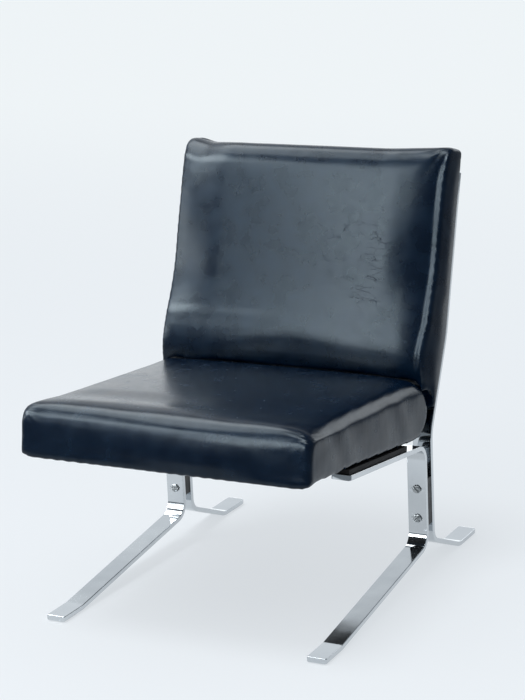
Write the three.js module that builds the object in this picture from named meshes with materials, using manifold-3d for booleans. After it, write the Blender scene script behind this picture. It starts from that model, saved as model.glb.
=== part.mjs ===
// Cantilever lounge chair: two side frames of bent flat steel carry an upholstered seat and back.
//
// Millimetres. X runs across the chair, Y from front to back, Z up from the floor.
// The finished group is moved so that its origin is at the middle of its footprint, on the floor.

import * as THREE from 'three';
import { mergeVertices } from 'three/addons/utils/BufferGeometryUtils.js';
import Module from 'manifold-3d';

const wasm = await Module();
wasm.setup();

// Sizes shared by the whole chair

const contactGap = 0.3;          // left between pieces that touch
const profileStride = 70;        // longest straight step round a cushion's profile
const cutOverrun = 5;            // how far a cutting shape runs past what it cuts
const chairWidth = 596;          // over the outer edges of the two side frames

// Flat steel bars of the side frames

const barWidth = 40;
const barThickness = 10;
const barEdgeRound = 1.2;
const bendRadius = 33;           // at the middle of the bar's thickness
const footBendRadius = 60;
const hipBendRadius = 80;
const lumbarBendRadius = 200;
const footCornerRadius = 7;      // plan corners of the rear feet
const toeCornerRadius = 2.5;     // plan corners of the front feet

// Side view of the bars: setbacks from the tip of the front foot, heights above the floor

const frontFootLength = 72;
const postSetback = 501.5;       // middle of the front bar at the knee
const kneeHeight = 64.5;
const postLean = 6;              // how far the elbow stands in front of the knee
const elbowHeight = 273.4;
const armFrontSetback = 126;
const armFrontHeight = 317.8;
const rearFootEnd = 775.5;
const rearFootLength = 95;
const hipHeight = 294;
const lowerBackRun = 86.5;         // rearwards from the hip to the lumbar bend
const lowerBackRise = 181;
const upperBackRun = 87.5;       // rearwards from the lumbar bend to the top end
const upperBackRise = 320;

// Spacer block and screws that join the two bars of a side frame at the post

const spacerThickness = 22;
const spacerWidth = 36;
const spacerHeight = 100;
const spacerEdgeRound = 1.5;
const postScrewMiddle = 153;     // height of the middle between the two screws
const postScrewPitch = 62;
const postScrewRadius = 4;
const postHeadRadius = 8.8;
const postHeadHeight = 3.6;
const postSlotWidth = 1.8;
const postSlotDepth = 1.7;
const headRimShare = 0.35;    // share of the head's height below its dome
const postSlotTurns = {          // angles from upright at which the slots came to rest
  right: { upper: 0.8, lower: -0.75 },
  left: { upper: 0.35, lower: -1.4 },
};

// Glides under the feet

const glideThickness = 2;
const glideLength = 46;
const glideWidth = 32;
const glideCornerRadius = 5;
const glideInset = 9;            // from the end of the foot

// Seat: sizes along the arms, measured from the front end of the arms

const battenHeight = 9.6;
const battenWidth = 30;
const battenLength = 280;
const battenInset = 4;
const seatSideClearance = 2;     // from the frame's outer edge to the seat's side
const seatOverhang = 182;        // front face ahead of the arms' front ends
const seatRearEnd = 395;
const seatFrontThickness = 98;
const seatRearThickness = 122;
const seatTopRound = 30;         // where the top turns over at both sides
const seatFrontTopRadius = 24;
const seatBottomRadius = 7;
const seatCornerRound = 9;       // upright corners at the front and rear
const seatCrown = 9;
const seatFrontBulge = 6;
const seatFrontSag = 8;          // how far the front panel hangs below the side panels
const seatSagReach = 34;         // from the front face to where the underside is level again
const seatFrontFlare = 4;        // how far the front corners stand out beyond the rear ones
const seatPinchShare = 0.55;     // share of the side rounding that the front corners lose
const seatDrawIn = 4;            // how far the sides are pulled in between the corners

// Inside of the seat

const coverThickness = 1.4;
const foamGap = 1.6;             // between a cover and its filling
const seatHemWidth = 52;
const railHeight = 20;
const railWidth = 48;
const railRearSetback = 62;      // from the seat's rear end to the rear rail's back face
const webbingThickness = 2.4;
const webbingWidth = 50;
const webbingCount = 5;
const webbingTackLap = 24;       // length of strap tacked on each side rail
const dustCoverThickness = 1;
const dustCoverLap = 8;          // onto the turned-under hem

// Screws that hold the seat on the arms and the back on the rear bars

const mountScrewRadius = 3;
const mountHeadRadius = 6.5;
const mountHeadHeight = 3.2;
const mountSlotWidth = 1.4;
const mountSlotDepth = 1.4;
const mountScrewReach = 2;       // beyond the tee nut's flange
const mountScrewInset = 8;       // from the middle of the bar towards the inside
const teeBarrelRadius = 4.6;
const teeFlangeRadius = 10;
const teeFlangeThickness = 1.4;
const teeBarrelLength = 8;
const seatScrewSetbacks = { front: 52, rear: 238 };

// Back: sizes along the rear bars, measured up from the hip corner

const backSideClearance = 0;     // from the frame's outer edge to the back's side
const backBottom = 44;
const backTop = 572;
const backBottomThickness = 98;  // from the bars' front faces to the front of the cushion
const backTopThickness = 82;
const backCrown = 12;
const backDrawIn = 4;
const backSideRound = 24;        // where the front turns over at both sides
const backFrontEdgeRadius = 18;
const backRearEdgeRadius = 6;
const backEndRound = 10;         // top and bottom ends, at the sides
const seatToBackGap = 0.8;

// Inside of the back

const rearPanelThickness = 4;
const rearPanelInset = 11;
const rearPanelBottomInset = 26;
const backHemWidth = 46;
const boardThickness = 12;
const boardInset = 9;
const boardBottomInset = 34;
const backScrewSetbacks = { lower: 118, upper: 470 };

// Counts that set how finely curves are divided

const bendSteps = 5;
const roundSteps = 3;
const crownSteps = 6;
const arcSteps = 5;
const edgeSteps = 2;
const lumbarSteps = 3;
const domeSteps = 3;
const cornerSteps = 3;
const screwSides = 10;
const holeSides = 10;

// Finishes

function chrome() {
  return new THREE.MeshStandardMaterial({ color: 0xd5d8da, roughness: 0.08, metalness: 1 });
}

function blackLeather() {
  return new THREE.MeshStandardMaterial({ color: 0x14181b, roughness: 0.38, metalness: 0 });
}

function blackLacquer() {
  return new THREE.MeshStandardMaterial({ color: 0x0b0b0d, roughness: 0.45, metalness: 0 });
}

function wood() {
  return new THREE.MeshStandardMaterial({ color: 0xb98f5e, roughness: 0.7, metalness: 0 });
}

function foam() {
  return new THREE.MeshStandardMaterial({ color: 0xd9c98f, roughness: 0.95, metalness: 0 });
}

function blackCloth() {
  return new THREE.MeshStandardMaterial({ color: 0x17171a, roughness: 0.95, metalness: 0 });
}

function webbing() {
  return new THREE.MeshStandardMaterial({ color: 0x3a3026, roughness: 0.9, metalness: 0 });
}

function zincSteel() {
  return new THREE.MeshStandardMaterial({ color: 0xa9adb0, roughness: 0.35, metalness: 1 });
}

function glideBlack() {
  return new THREE.MeshStandardMaterial({ color: 0x101011, roughness: 0.6, metalness: 0 });
}

// Joining and cutting

function toSolid(geometry) {
  const bare = geometry.clone();
  bare.deleteAttribute('normal');
  bare.deleteAttribute('uv');
  const merged = mergeVertices(bare);
  return new wasm.Manifold(new wasm.Mesh({
    numProp: 3,
    vertProperties: new Float32Array(merged.attributes.position.array),
    triVerts: new Uint32Array(merged.index.array),
  }));
}

function toGeometry(solid) {
  const mesh = solid.getMesh();
  const geometry = new THREE.BufferGeometry();
  geometry.setAttribute('position', new THREE.BufferAttribute(mesh.vertProperties, mesh.numProp));
  geometry.setIndex(new THREE.BufferAttribute(mesh.triVerts, 1));
  geometry.computeVertexNormals();
  return geometry;
}

function cut(geometry, cutters) {
  let solid = toSolid(geometry);
  for (const cutter of cutters) {
    solid = solid.subtract(toSolid(cutter));
  }
  return toGeometry(solid);
}

function keepInside(geometry, limit) {
  return toGeometry(toSolid(geometry).intersect(toSolid(limit)));
}

function addPiece(group, name, geometry, material) {
  const piece = new THREE.Mesh(geometry, material);
  piece.name = name;
  group.add(piece);
  return piece;
}

// The side view: a Vector2 holds a setback and a height

function sideDirection(from, to) {
  return to.clone().sub(from).normalize();
}

function leftOf(direction) {
  return new THREE.Vector2(-direction.y, direction.x);
}

// Samples along a line of corners whose bends are rounded, each with its left-hand normal
function bentLine(corners, radii) {
  const first = sideDirection(corners[0], corners[1]);
  const samples = [{ point: corners[0].clone(), normal: leftOf(first) }];
  for (let i = 1; i < corners.length - 1; i += 1) {
    const into = sideDirection(corners[i - 1], corners[i]);
    const outOf = sideDirection(corners[i], corners[i + 1]);
    const turn = Math.atan2(into.cross(outOf), into.dot(outOf));
    const radius = radii[i - 1];
    const tangent = radius * Math.tan(Math.abs(turn) / 2);
    const start = corners[i].clone().addScaledVector(into, -tangent);
    const centre = start.clone().addScaledVector(leftOf(into), Math.sign(turn) * radius);
    for (let k = 0; k <= bendSteps; k += 1) {
      const heading = into.clone().rotateAround(new THREE.Vector2(), turn * k / bendSteps);
      const normal = leftOf(heading);
      const point = centre.clone().addScaledVector(normal, -Math.sign(turn) * radius);
      samples.push({ point, normal });
    }
  }
  const last = corners.length - 1;
  const lastDirection = sideDirection(corners[last - 1], corners[last]);
  samples.push({ point: corners[last].clone(), normal: leftOf(lastDirection) });
  return samples;
}

function stripShape(samples, leftOffset, rightOffset) {
  const left = samples.map((s) => s.point.clone().addScaledVector(s.normal, leftOffset));
  const right = samples.map((s) => s.point.clone().addScaledVector(s.normal, rightOffset));
  return new THREE.Shape([...right, ...left.reverse()]);
}

// Turns a side-view shape into a solid that runs across the chair, centred on x = 0
function extrudeAcross(shape, width, edgeRound = 0) {
  const geometry = new THREE.ExtrudeGeometry(shape, {
    depth: width - 2 * edgeRound,
    bevelEnabled: edgeRound > 0,
    bevelThickness: edgeRound,
    bevelSize: edgeRound,
    bevelOffset: -edgeRound,
    bevelSegments: 1,
  });
  geometry.translate(0, 0, edgeRound - width / 2);
  const toSideView = new THREE.Matrix4().makeBasis(
    new THREE.Vector3(0, 1, 0),
    new THREE.Vector3(0, 0, 1),
    new THREE.Vector3(1, 0, 0),
  );
  return geometry.applyMatrix4(toSideView);
}

// Plan outline with rounded corners, centred on the origin
function roundedRectangle(width, length, radius) {
  const x = width / 2;
  const y = length / 2;
  const shape = new THREE.Shape();
  shape.moveTo(radius - x, -y);
  shape.lineTo(x - radius, -y);
  shape.absarc(x - radius, radius - y, radius, -Math.PI / 2, 0, false);
  shape.lineTo(x, y - radius);
  shape.absarc(x - radius, y - radius, radius, 0, Math.PI / 2, false);
  shape.lineTo(radius - x, y);
  shape.absarc(radius - x, y - radius, radius, Math.PI / 2, Math.PI, false);
  shape.lineTo(-x, radius - y);
  shape.absarc(radius - x, radius - y, radius, Math.PI, Math.PI * 3 / 2, false);
  return shape;
}

// Stands an object at a place in the side view, with its own Z along the given direction
function standAlong(object, x, point, direction) {
  object.position.set(x, point.x, point.y);
  object.rotation.x = Math.atan2(-direction.x, direction.y);
  object.updateMatrix();
  return object;
}

// A round cutter whose own Z is the hole's axis
function drill(radius, length, x, point, direction) {
  const cylinder = new THREE.CylinderGeometry(radius, radius, length, holeSides);
  cylinder.rotateX(Math.PI / 2);
  const holder = standAlong(new THREE.Object3D(), x, point, direction);
  return cylinder.applyMatrix4(holder.matrix);
}

// Corners of the bars' middle lines

const footMiddle = glideThickness + contactGap + barThickness / 2;
const frontFootTip = new THREE.Vector2(0, footMiddle);
const frontHeel = new THREE.Vector2(frontFootLength, footMiddle);
const frontKnee = new THREE.Vector2(postSetback, kneeHeight);
const elbow = new THREE.Vector2(postSetback - postLean, elbowHeight);
const armFront = new THREE.Vector2(armFrontSetback, armFrontHeight);

const postDirection = sideDirection(frontKnee, elbow);
const postFront = leftOf(postDirection);
const barSpacing = barThickness + spacerThickness + 2 * contactGap;
const rearKnee = frontKnee.clone().addScaledVector(postFront, -barSpacing);
const hipRise = (hipHeight - rearKnee.y) / postDirection.y;
const hip = rearKnee.clone().addScaledVector(postDirection, hipRise);
const rearFootTip = new THREE.Vector2(rearFootEnd, footMiddle);
const rearHeel = new THREE.Vector2(rearFootEnd - rearFootLength, footMiddle);
const lumbar = hip.clone().add(new THREE.Vector2(lowerBackRun, lowerBackRise));
const barTop = lumbar.clone().add(new THREE.Vector2(upperBackRun, upperBackRise));

const armDirection = sideDirection(armFront, elbow);
const armUp = leftOf(armDirection);
const armTopFront = armFront.clone().addScaledVector(armUp, barThickness / 2);
const barCentre = chairWidth / 2 - barWidth / 2;
const seatWidth = chairWidth - 2 * seatSideClearance;
const backWidth = chairWidth - 2 * backSideClearance;

// Sides of the chair: x is positive on the right-hand side as seen by someone facing the chair
const sides = { right: 1, left: -1 };

function postPoint(height, forward) {
  const rise = (height - frontKnee.y) / postDirection.y;
  const middle = frontKnee.clone().addScaledVector(postDirection, rise);
  return middle.addScaledVector(postFront, forward);
}

function armPoint(along, up) {
  const point = armTopFront.clone().addScaledVector(armDirection, along);
  return point.addScaledVector(armUp, up);
}

// The line of the back: the rear bar above the hip, followed by everything fixed to it

const lowerBackDirection = sideDirection(hip, lumbar);
const upperBackDirection = sideDirection(lumbar, barTop);
const lumbarTurn = Math.atan2(
  lowerBackDirection.cross(upperBackDirection),
  lowerBackDirection.dot(upperBackDirection),
);
const lumbarTangent = lumbarBendRadius * Math.tan(Math.abs(lumbarTurn) / 2);
const lumbarStart = hip.distanceTo(lumbar) - lumbarTangent;
const lumbarArc = lumbarBendRadius * Math.abs(lumbarTurn);

// A point at a distance up the back line and a distance in front of the bars' front faces
function backPoint(up, forward) {
  const start = hip.clone().addScaledVector(lowerBackDirection, lumbarStart);
  const bent = THREE.MathUtils.clamp((up - lumbarStart) / lumbarArc, 0, 1);
  const heading = lowerBackDirection.clone().rotateAround(new THREE.Vector2(), lumbarTurn * bent);
  const normal = leftOf(heading);
  const centre = start.clone().addScaledVector(leftOf(lowerBackDirection), lumbarBendRadius);
  const point = centre.addScaledVector(normal, -lumbarBendRadius);
  const straight = up < lumbarStart ? up - lumbarStart : Math.max(0, up - lumbarStart - lumbarArc);
  point.addScaledVector(heading, straight);
  return point.addScaledVector(normal, barThickness / 2 + forward);
}

function backNormal(up) {
  const bent = THREE.MathUtils.clamp((up - lumbarStart) / lumbarArc, 0, 1);
  return leftOf(lowerBackDirection.clone().rotateAround(new THREE.Vector2(), lumbarTurn * bent));
}

// Where the lumbar bend is divided
const lumbarStops = [];
for (let k = 0; k <= lumbarSteps; k += 1) {
  lumbarStops.push(lumbarStart + lumbarArc * k / lumbarSteps);
}

// A board that follows the back line
function backBoard(low, high, near, far, width) {
  const stops = [low, ...lumbarStops, high];
  const nearSide = stops.map((up) => backPoint(up, near));
  const farSide = stops.map((up) => backPoint(up, far));
  return extrudeAcross(new THREE.Shape([...nearSide, ...farSide.reverse()]), width);
}

// Side frames

// Limits a bar to a plan outline with rounded corners at one end
function roundFoot(bar, endSetback, towardsBack, radius) {
  const reach = rearFootEnd + seatOverhang;
  const height = barTop.y + barThickness;
  const outline = roundedRectangle(barWidth, reach, radius);
  const limit = new THREE.ExtrudeGeometry(outline, {
    depth: height,
    bevelEnabled: false,
    curveSegments: cornerSteps,
  });
  const middle = towardsBack ? endSetback - reach / 2 : endSetback + reach / 2;
  limit.translate(0, middle, 0);
  return keepInside(bar, limit);
}

function frontBarGeometry(sign) {
  const corners = [frontFootTip, frontHeel, frontKnee, elbow, armFront];
  const samples = bentLine(corners, [footBendRadius, bendRadius, bendRadius]);
  const shape = stripShape(samples, barThickness / 2, -barThickness / 2);
  const bar = roundFoot(extrudeAcross(shape, barWidth, barEdgeRound), 0, false, toeCornerRadius);
  const length = barThickness + 2 * cutOverrun;
  const holes = [];
  for (const height of postScrewHeights()) {
    holes.push(drill(postScrewRadius + contactGap, length, 0, postPoint(height, 0), postFront));
  }
  for (const along of Object.values(seatScrewSetbacks)) {
    const middle = armPoint(along, -barThickness / 2);
    holes.push(drill(mountScrewRadius + contactGap, length, -sign * mountScrewInset, middle, armUp));
  }
  return cut(bar, holes);
}

function rearBarGeometry(sign) {
  const corners = [rearFootTip, rearHeel, rearKnee, hip, lumbar, barTop];
  const radii = [footBendRadius, bendRadius, hipBendRadius, lumbarBendRadius];
  const samples = bentLine(corners, radii);
  const shape = stripShape(samples, barThickness / 2, -barThickness / 2);
  const bar = roundFoot(extrudeAcross(shape, barWidth, barEdgeRound), rearFootEnd, true, footCornerRadius);
  const length = barThickness + 2 * cutOverrun;
  const holes = [];
  for (const height of postScrewHeights()) {
    const middle = postPoint(height, -barSpacing);
    holes.push(drill(postScrewRadius + contactGap, length, 0, middle, postFront));
  }
  for (const up of Object.values(backScrewSetbacks)) {
    const middle = backPoint(up, -barThickness / 2);
    const offset = -sign * mountScrewInset;
    holes.push(drill(mountScrewRadius + contactGap, length, offset, middle, backNormal(up)));
  }
  return cut(bar, holes);
}

function postScrewHeights() {
  return [postScrewMiddle + postScrewPitch / 2, postScrewMiddle - postScrewPitch / 2];
}

function spacerGeometry() {
  const outline = roundedRectangle(spacerWidth, spacerHeight, spacerEdgeRound);
  const block = new THREE.ExtrudeGeometry(outline, {
    depth: spacerThickness,
    bevelEnabled: false,
    curveSegments: edgeSteps,
  });
  block.translate(0, 0, -spacerThickness / 2);
  const holes = [];
  for (const side of [1, -1]) {
    const hole = new THREE.CylinderGeometry(
      postScrewRadius + contactGap,
      postScrewRadius + contactGap,
      spacerThickness + 2 * cutOverrun,
      holeSides,
    );
    hole.rotateX(Math.PI / 2);
    hole.translate(0, side * postScrewPitch / 2, 0);
    holes.push(hole);
  }
  return cut(block, holes);
}

// Screw with a raised, slotted head; its own Z points out of the head and 0 is the head's underside
function screwGeometry(radius, length, headRadius, headHeight, slotWidth, slotDepth, slotTurn) {
  const rimHeight = headHeight * headRimShare;
  const profile = [
    new THREE.Vector2(0, -length),
    new THREE.Vector2(radius, -length),
    new THREE.Vector2(radius, 0),
    new THREE.Vector2(headRadius, 0),
  ];
  for (let k = 0; k < domeSteps; k += 1) {
    const angle = Math.PI / 2 * k / domeSteps;
    const domeHeight = (headHeight - rimHeight) * Math.sin(angle);
    profile.push(new THREE.Vector2(headRadius * Math.cos(angle), rimHeight + domeHeight));
  }
  profile.push(new THREE.Vector2(0, headHeight));
  const screw = new THREE.LatheGeometry(profile, screwSides);
  screw.rotateX(Math.PI / 2);
  const slot = new THREE.BoxGeometry(slotWidth, 2 * headRadius + cutOverrun, slotDepth + cutOverrun);
  slot.translate(0, 0, headHeight + (cutOverrun - slotDepth) / 2);
  slot.rotateZ(slotTurn);
  return cut(screw, [slot]);
}

function addPostScrew(group, name, x, height, slotTurn) {
  const reach = barSpacing + barThickness;
  const geometry = screwGeometry(
    postScrewRadius, reach, postHeadRadius, postHeadHeight, postSlotWidth, postSlotDepth, slotTurn,
  );
  const screw = addPiece(group, name, geometry, chrome());
  standAlong(screw, x, postPoint(height, barThickness / 2 + contactGap), postFront);
}

function glideGeometry() {
  const outline = roundedRectangle(glideWidth, glideLength, glideCornerRadius);
  const glide = new THREE.ExtrudeGeometry(outline, {
    depth: glideThickness,
    bevelEnabled: false,
    curveSegments: cornerSteps,
  });
  return glide;
}

function addSideFrame(group, side, sign) {
  const x = sign * barCentre;
  const frontBar = addPiece(group, `front_bar_${side}`, frontBarGeometry(sign), chrome());
  frontBar.position.x = x;
  const rearBar = addPiece(group, `rear_bar_${side}`, rearBarGeometry(sign), chrome());
  rearBar.position.x = x;
  const spacer = addPiece(group, `post_spacer_${side}`, spacerGeometry(), blackLacquer());
  standAlong(spacer, x, postPoint(postScrewMiddle, -barSpacing / 2), postFront);
  const [upperHeight, lowerHeight] = postScrewHeights();
  const turns = postSlotTurns[side];
  addPostScrew(group, `post_screw_upper_${side}`, x, upperHeight, turns.upper);
  addPostScrew(group, `post_screw_lower_${side}`, x, lowerHeight, turns.lower);
  const frontGlide = addPiece(group, `foot_glide_front_${side}`, glideGeometry(), glideBlack());
  frontGlide.position.set(x, glideInset + glideLength / 2, 0);
  const rearGlide = addPiece(group, `foot_glide_rear_${side}`, glideGeometry(), glideBlack());
  rearGlide.position.set(x, rearFootEnd - glideInset - glideLength / 2, 0);
}

// Upholstered forms

// How far a quarter-round edge has fallen at a distance in from the end
function roundFall(radius, distance) {
  const left = Math.max(0, radius - distance);
  return radius - Math.sqrt(Math.max(0, radius * radius - left * left));
}

function smooth(share) {
  return THREE.MathUtils.smoothstep(share, 0, 1);
}

// Points of a quarter circle in the side view, running counter-clockwise
function arcPoints(centreX, centreY, radius, start, steps) {
  const points = [];
  for (let k = 0; k <= steps; k += 1) {
    const angle = start + Math.PI / 2 * k / steps;
    points.push(new THREE.Vector2(centreX + radius * Math.cos(angle), centreY + radius * Math.sin(angle)));
  }
  return points;
}

// Adds points on the long straight stretches of a closed line
function fillStraights(corners) {
  return corners.flatMap((corner, i) => {
    const next = corners[(i + 1) % corners.length];
    const steps = Math.ceil(corner.distanceTo(next) / profileStride);
    return Array.from({ length: steps }, (_, k) => corner.clone().lerp(next, k / steps));
  });
}

// A closed form lofted across the chair: one loop of profile points at each station in x.
// shape.point(x, distance from the side, loop point) gives the place of each point.
function loftAcross(shape) {
  const stations = [];
  for (let k = 0; k < roundSteps; k += 1) {
    const angle = Math.PI / 2 * k / roundSteps;
    stations.push(shape.sideRound * (1 - Math.cos(angle)));
  }
  const inner = shape.halfWidth - shape.sideRound;
  for (let k = 0; k <= crownSteps / 2; k += 1) {
    stations.push(shape.halfWidth - inner * (1 - k / (crownSteps / 2)));
  }
  const distances = [...stations, ...stations.slice(0, -1).reverse()];
  const positions = [];
  const indices = [];
  distances.forEach((distance, i) => {
    const sign = i < stations.length ? -1 : 1;
    const x = sign * (shape.halfWidth - distance);
    for (const loopPoint of shape.loop) {
      const place = shape.point(x, distance, loopPoint);
      positions.push(place.x, place.y, place.z);
    }
  });
  const count = shape.loop.length;
  for (let i = 0; i < distances.length - 1; i += 1) {
    for (let j = 0; j < count; j += 1) {
      const a = i * count + j;
      const b = i * count + (j + 1) % count;
      indices.push(a, b, b + count, a, b + count, a + count);
    }
  }
  for (const [start, outward] of [[0, false], [(distances.length - 1) * count, true]]) {
    const middle = new THREE.Vector3();
    for (let j = 0; j < count; j += 1) {
      middle.add(new THREE.Vector3().fromArray(positions, (start + j) * 3));
    }
    middle.divideScalar(count);
    const centre = positions.length / 3;
    positions.push(middle.x, middle.y, middle.z);
    for (let j = 0; j < count; j += 1) {
      const a = start + j;
      const b = start + (j + 1) % count;
      indices.push(centre, outward ? a : b, outward ? b : a);
    }
  }
  const geometry = new THREE.BufferGeometry();
  geometry.setAttribute('position', new THREE.Float32BufferAttribute(positions, 3));
  geometry.setIndex(indices);
  return geometry;
}

const seatBase = battenHeight + 2 * contactGap;

// The seat's form, in the seat's own frame: Y along the arms, Z up from their top faces.
// A positive inset gives the same form drawn in on every side.
function seatForm(inset) {
  const base = seatBase + inset;
  const front = inset - seatOverhang;
  const rear = seatRearEnd - inset;
  const frontThickness = seatFrontThickness - 2 * inset;
  const rearRadius = seatRearThickness / 2 - inset;
  const topRadius = seatFrontTopRadius - inset;
  const bottomRadius = seatBottomRadius - inset;
  const quarter = Math.PI / 2;
  const loop = fillStraights([
    ...arcPoints(rear - rearRadius, base + rearRadius, rearRadius, -quarter, arcSteps),
    ...arcPoints(rear - rearRadius, base + rearRadius, rearRadius, 0, arcSteps).slice(1),
    ...arcPoints(front + topRadius, base + frontThickness - topRadius, topRadius, quarter, arcSteps),
    ...arcPoints(front + bottomRadius, base + bottomRadius, bottomRadius, 2 * quarter, edgeSteps),
    new THREE.Vector2(front + seatSagReach, base),
  ]);
  const halfWidth = seatWidth / 2 - inset;
  const sideRound = seatTopRound - inset;
  const endShare = 0.2;
  function point(x, distance, place) {
    const along = THREE.MathUtils.clamp((place.x - front) / (rear - front), 0, 1);
    const thickness = THREE.MathUtils.lerp(frontThickness, 2 * rearRadius, along);
    const height = THREE.MathUtils.clamp((place.y - base) / thickness, 0, 1);
    const across = 1 - (x / halfWidth) ** 2;
    const crown = seatCrown * across * height * (1 - (2 * along - 1) ** 4);
    const atFront = 1 - smooth(along / endShare);
    const atRear = smooth((along - 1 + endShare) / endShare);
    const topFall = roundFall(sideRound, distance) * height * (1 - seatPinchShare * atFront);
    const frontFall = roundFall(seatCornerRound, distance) * atFront;
    const rearFall = roundFall(seatCornerRound, distance) * atRear;
    const bulge = seatFrontBulge * atFront * across * Math.sin(Math.PI * height);
    const drawn = seatDrawIn * Math.sin(Math.PI * along) - seatFrontFlare * (1 - along);
    const nearFront = 1 - smooth((place.x - front) / seatSagReach);
    const sag = seatFrontSag * nearFront * (1 - height) * smooth(distance / seatTopRound);
    return new THREE.Vector3(
      x * (1 - drawn / halfWidth),
      place.x + frontFall - rearFall - bulge,
      place.y - topFall - sag + crown,
    );
  }
  return loftAcross({ halfWidth, sideRound, loop, point });
}

// The back's form, which follows the line of the rear bars
function backForm(inset) {
  const low = backBottom + inset;
  const high = backTop - inset;
  const rear = contactGap + rearPanelThickness + contactGap + inset;
  const lowFront = backBottomThickness - inset;
  const highFront = backTopThickness - inset;
  const frontAt = (up) => THREE.MathUtils.mapLinear(up, low, high, lowFront, highFront);
  const frontRadius = backFrontEdgeRadius - inset;
  const rearRadius = backRearEdgeRadius - inset;
  const quarter = Math.PI / 2;
  const loop = fillStraights([
    ...arcPoints(high - rearRadius, rear + rearRadius, rearRadius, -quarter, edgeSteps),
    ...arcPoints(high - frontRadius, highFront - frontRadius, frontRadius, 0, arcSteps),
    ...[...lumbarStops].reverse().map((up) => new THREE.Vector2(up, frontAt(up))),
    ...arcPoints(low + frontRadius, lowFront - frontRadius, frontRadius, quarter, edgeSteps),
    ...arcPoints(low + rearRadius, rear + rearRadius, rearRadius, 2 * quarter, edgeSteps),
    ...lumbarStops.map((up) => new THREE.Vector2(up, rear)),
  ]);
  const halfWidth = backWidth / 2 - inset;
  const sideRound = backSideRound - inset;
  const endShare = 0.12;
  function point(x, distance, place) {
    const up = THREE.MathUtils.clamp((place.x - low) / (high - low), 0, 1);
    const thickness = THREE.MathUtils.lerp(lowFront, highFront, up) - rear;
    const depth = THREE.MathUtils.clamp((place.y - rear) / thickness, 0, 1);
    const across = 1 - (x / halfWidth) ** 2;
    const crown = backCrown * across * depth * (1 - (2 * up - 1) ** 4);
    const atTop = smooth((up - 1 + endShare) / endShare);
    const atBottom = 1 - smooth(up / endShare);
    const frontFall = roundFall(sideRound, distance) * depth;
    const endFall = roundFall(backEndRound, distance) * (atTop - atBottom);
    const drawn = backDrawIn * Math.sin(Math.PI * up);
    const sideView = backPoint(place.x - endFall, place.y - frontFall + crown);
    return new THREE.Vector3(x * (1 - drawn / halfWidth), sideView.x, sideView.y);
  }
  return loftAcross({ halfWidth, sideRound, loop, point });
}

// Seat

const seatHalf = seatWidth / 2;
const railOuter = seatHalf - coverThickness - contactGap - seatDrawIn - seatCornerRound;
const railBase = seatBase + coverThickness + contactGap;
const railTop = railBase + railHeight;
const railFront = coverThickness + contactGap + seatCornerRound - seatOverhang;
const railRear = seatRearEnd - railRearSetback;
const foamBase = railTop + contactGap + webbingThickness + contactGap;
const mountLine = barCentre - mountScrewInset;

// A box from its low corner to its high corner
function boxBetween(low, high) {
  const box = new THREE.BoxGeometry(high.x - low.x, high.y - low.y, high.z - low.z);
  box.translate((low.x + high.x) / 2, (low.y + high.y) / 2, (low.z + high.z) / 2);
  return box;
}

// Upright holes for the two seat screws on one side, in the seat's own frame
function seatHoles(sign, radius, low, high) {
  return Object.values(seatScrewSetbacks).map((along) => {
    const hole = new THREE.CylinderGeometry(radius, radius, high - low, holeSides);
    hole.rotateX(Math.PI / 2);
    hole.translate(sign * mountLine, along, (low + high) / 2);
    return hole;
  });
}

function seatCoverGeometry() {
  const opening = boxBetween(
    new THREE.Vector3(seatHemWidth - seatHalf, seatHemWidth - seatOverhang, seatBase - cutOverrun),
    new THREE.Vector3(seatHalf - seatHemWidth, railRear - seatHemWidth, railBase + cutOverrun),
  );
  const low = seatBase - cutOverrun;
  const high = railBase + cutOverrun;
  const holes = [];
  for (const sign of Object.values(sides)) {
    holes.push(...seatHoles(sign, mountScrewRadius + contactGap, low, high));
  }
  return cut(seatForm(0), [seatForm(coverThickness), opening, ...holes]);
}

function seatFoamGeometry() {
  const below = boxBetween(
    new THREE.Vector3(-seatWidth, -seatWidth, 0),
    new THREE.Vector3(seatWidth, seatWidth, foamBase),
  );
  const nutRoom = mountScrewRadius + contactGap;
  const nutTop = railTop + contactGap + teeFlangeThickness;
  const pockets = [];
  for (const sign of Object.values(sides)) {
    pockets.push(...seatHoles(sign, nutRoom, foamBase - cutOverrun, nutTop + mountScrewReach + nutRoom));
  }
  return cut(seatForm(coverThickness + foamGap), [below, ...pockets]);
}

function sideRailGeometry(sign) {
  const inner = railOuter - railWidth;
  const low = new THREE.Vector3(sign > 0 ? inner : -railOuter, railFront + railWidth + contactGap, railBase);
  const high = new THREE.Vector3(sign > 0 ? railOuter : -inner, railRear - railWidth - contactGap, railTop);
  const barrelRoom = teeBarrelRadius + contactGap;
  return cut(boxBetween(low, high), seatHoles(sign, barrelRoom, railBase - cutOverrun, railTop + cutOverrun));
}

function crossRailGeometry(front) {
  const low = new THREE.Vector3(-railOuter, front, railBase);
  const high = new THREE.Vector3(railOuter, front + railWidth, railTop);
  return boxBetween(low, high);
}

function battenGeometry(sign) {
  const outer = sign * barCentre + battenWidth / 2;
  const inner = sign * barCentre - battenWidth / 2;
  const batten = boxBetween(
    new THREE.Vector3(inner, battenInset, contactGap),
    new THREE.Vector3(outer, battenInset + battenLength, contactGap + battenHeight),
  );
  return cut(batten, seatHoles(sign, mountScrewRadius + contactGap, -cutOverrun, battenHeight + cutOverrun));
}

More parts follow.
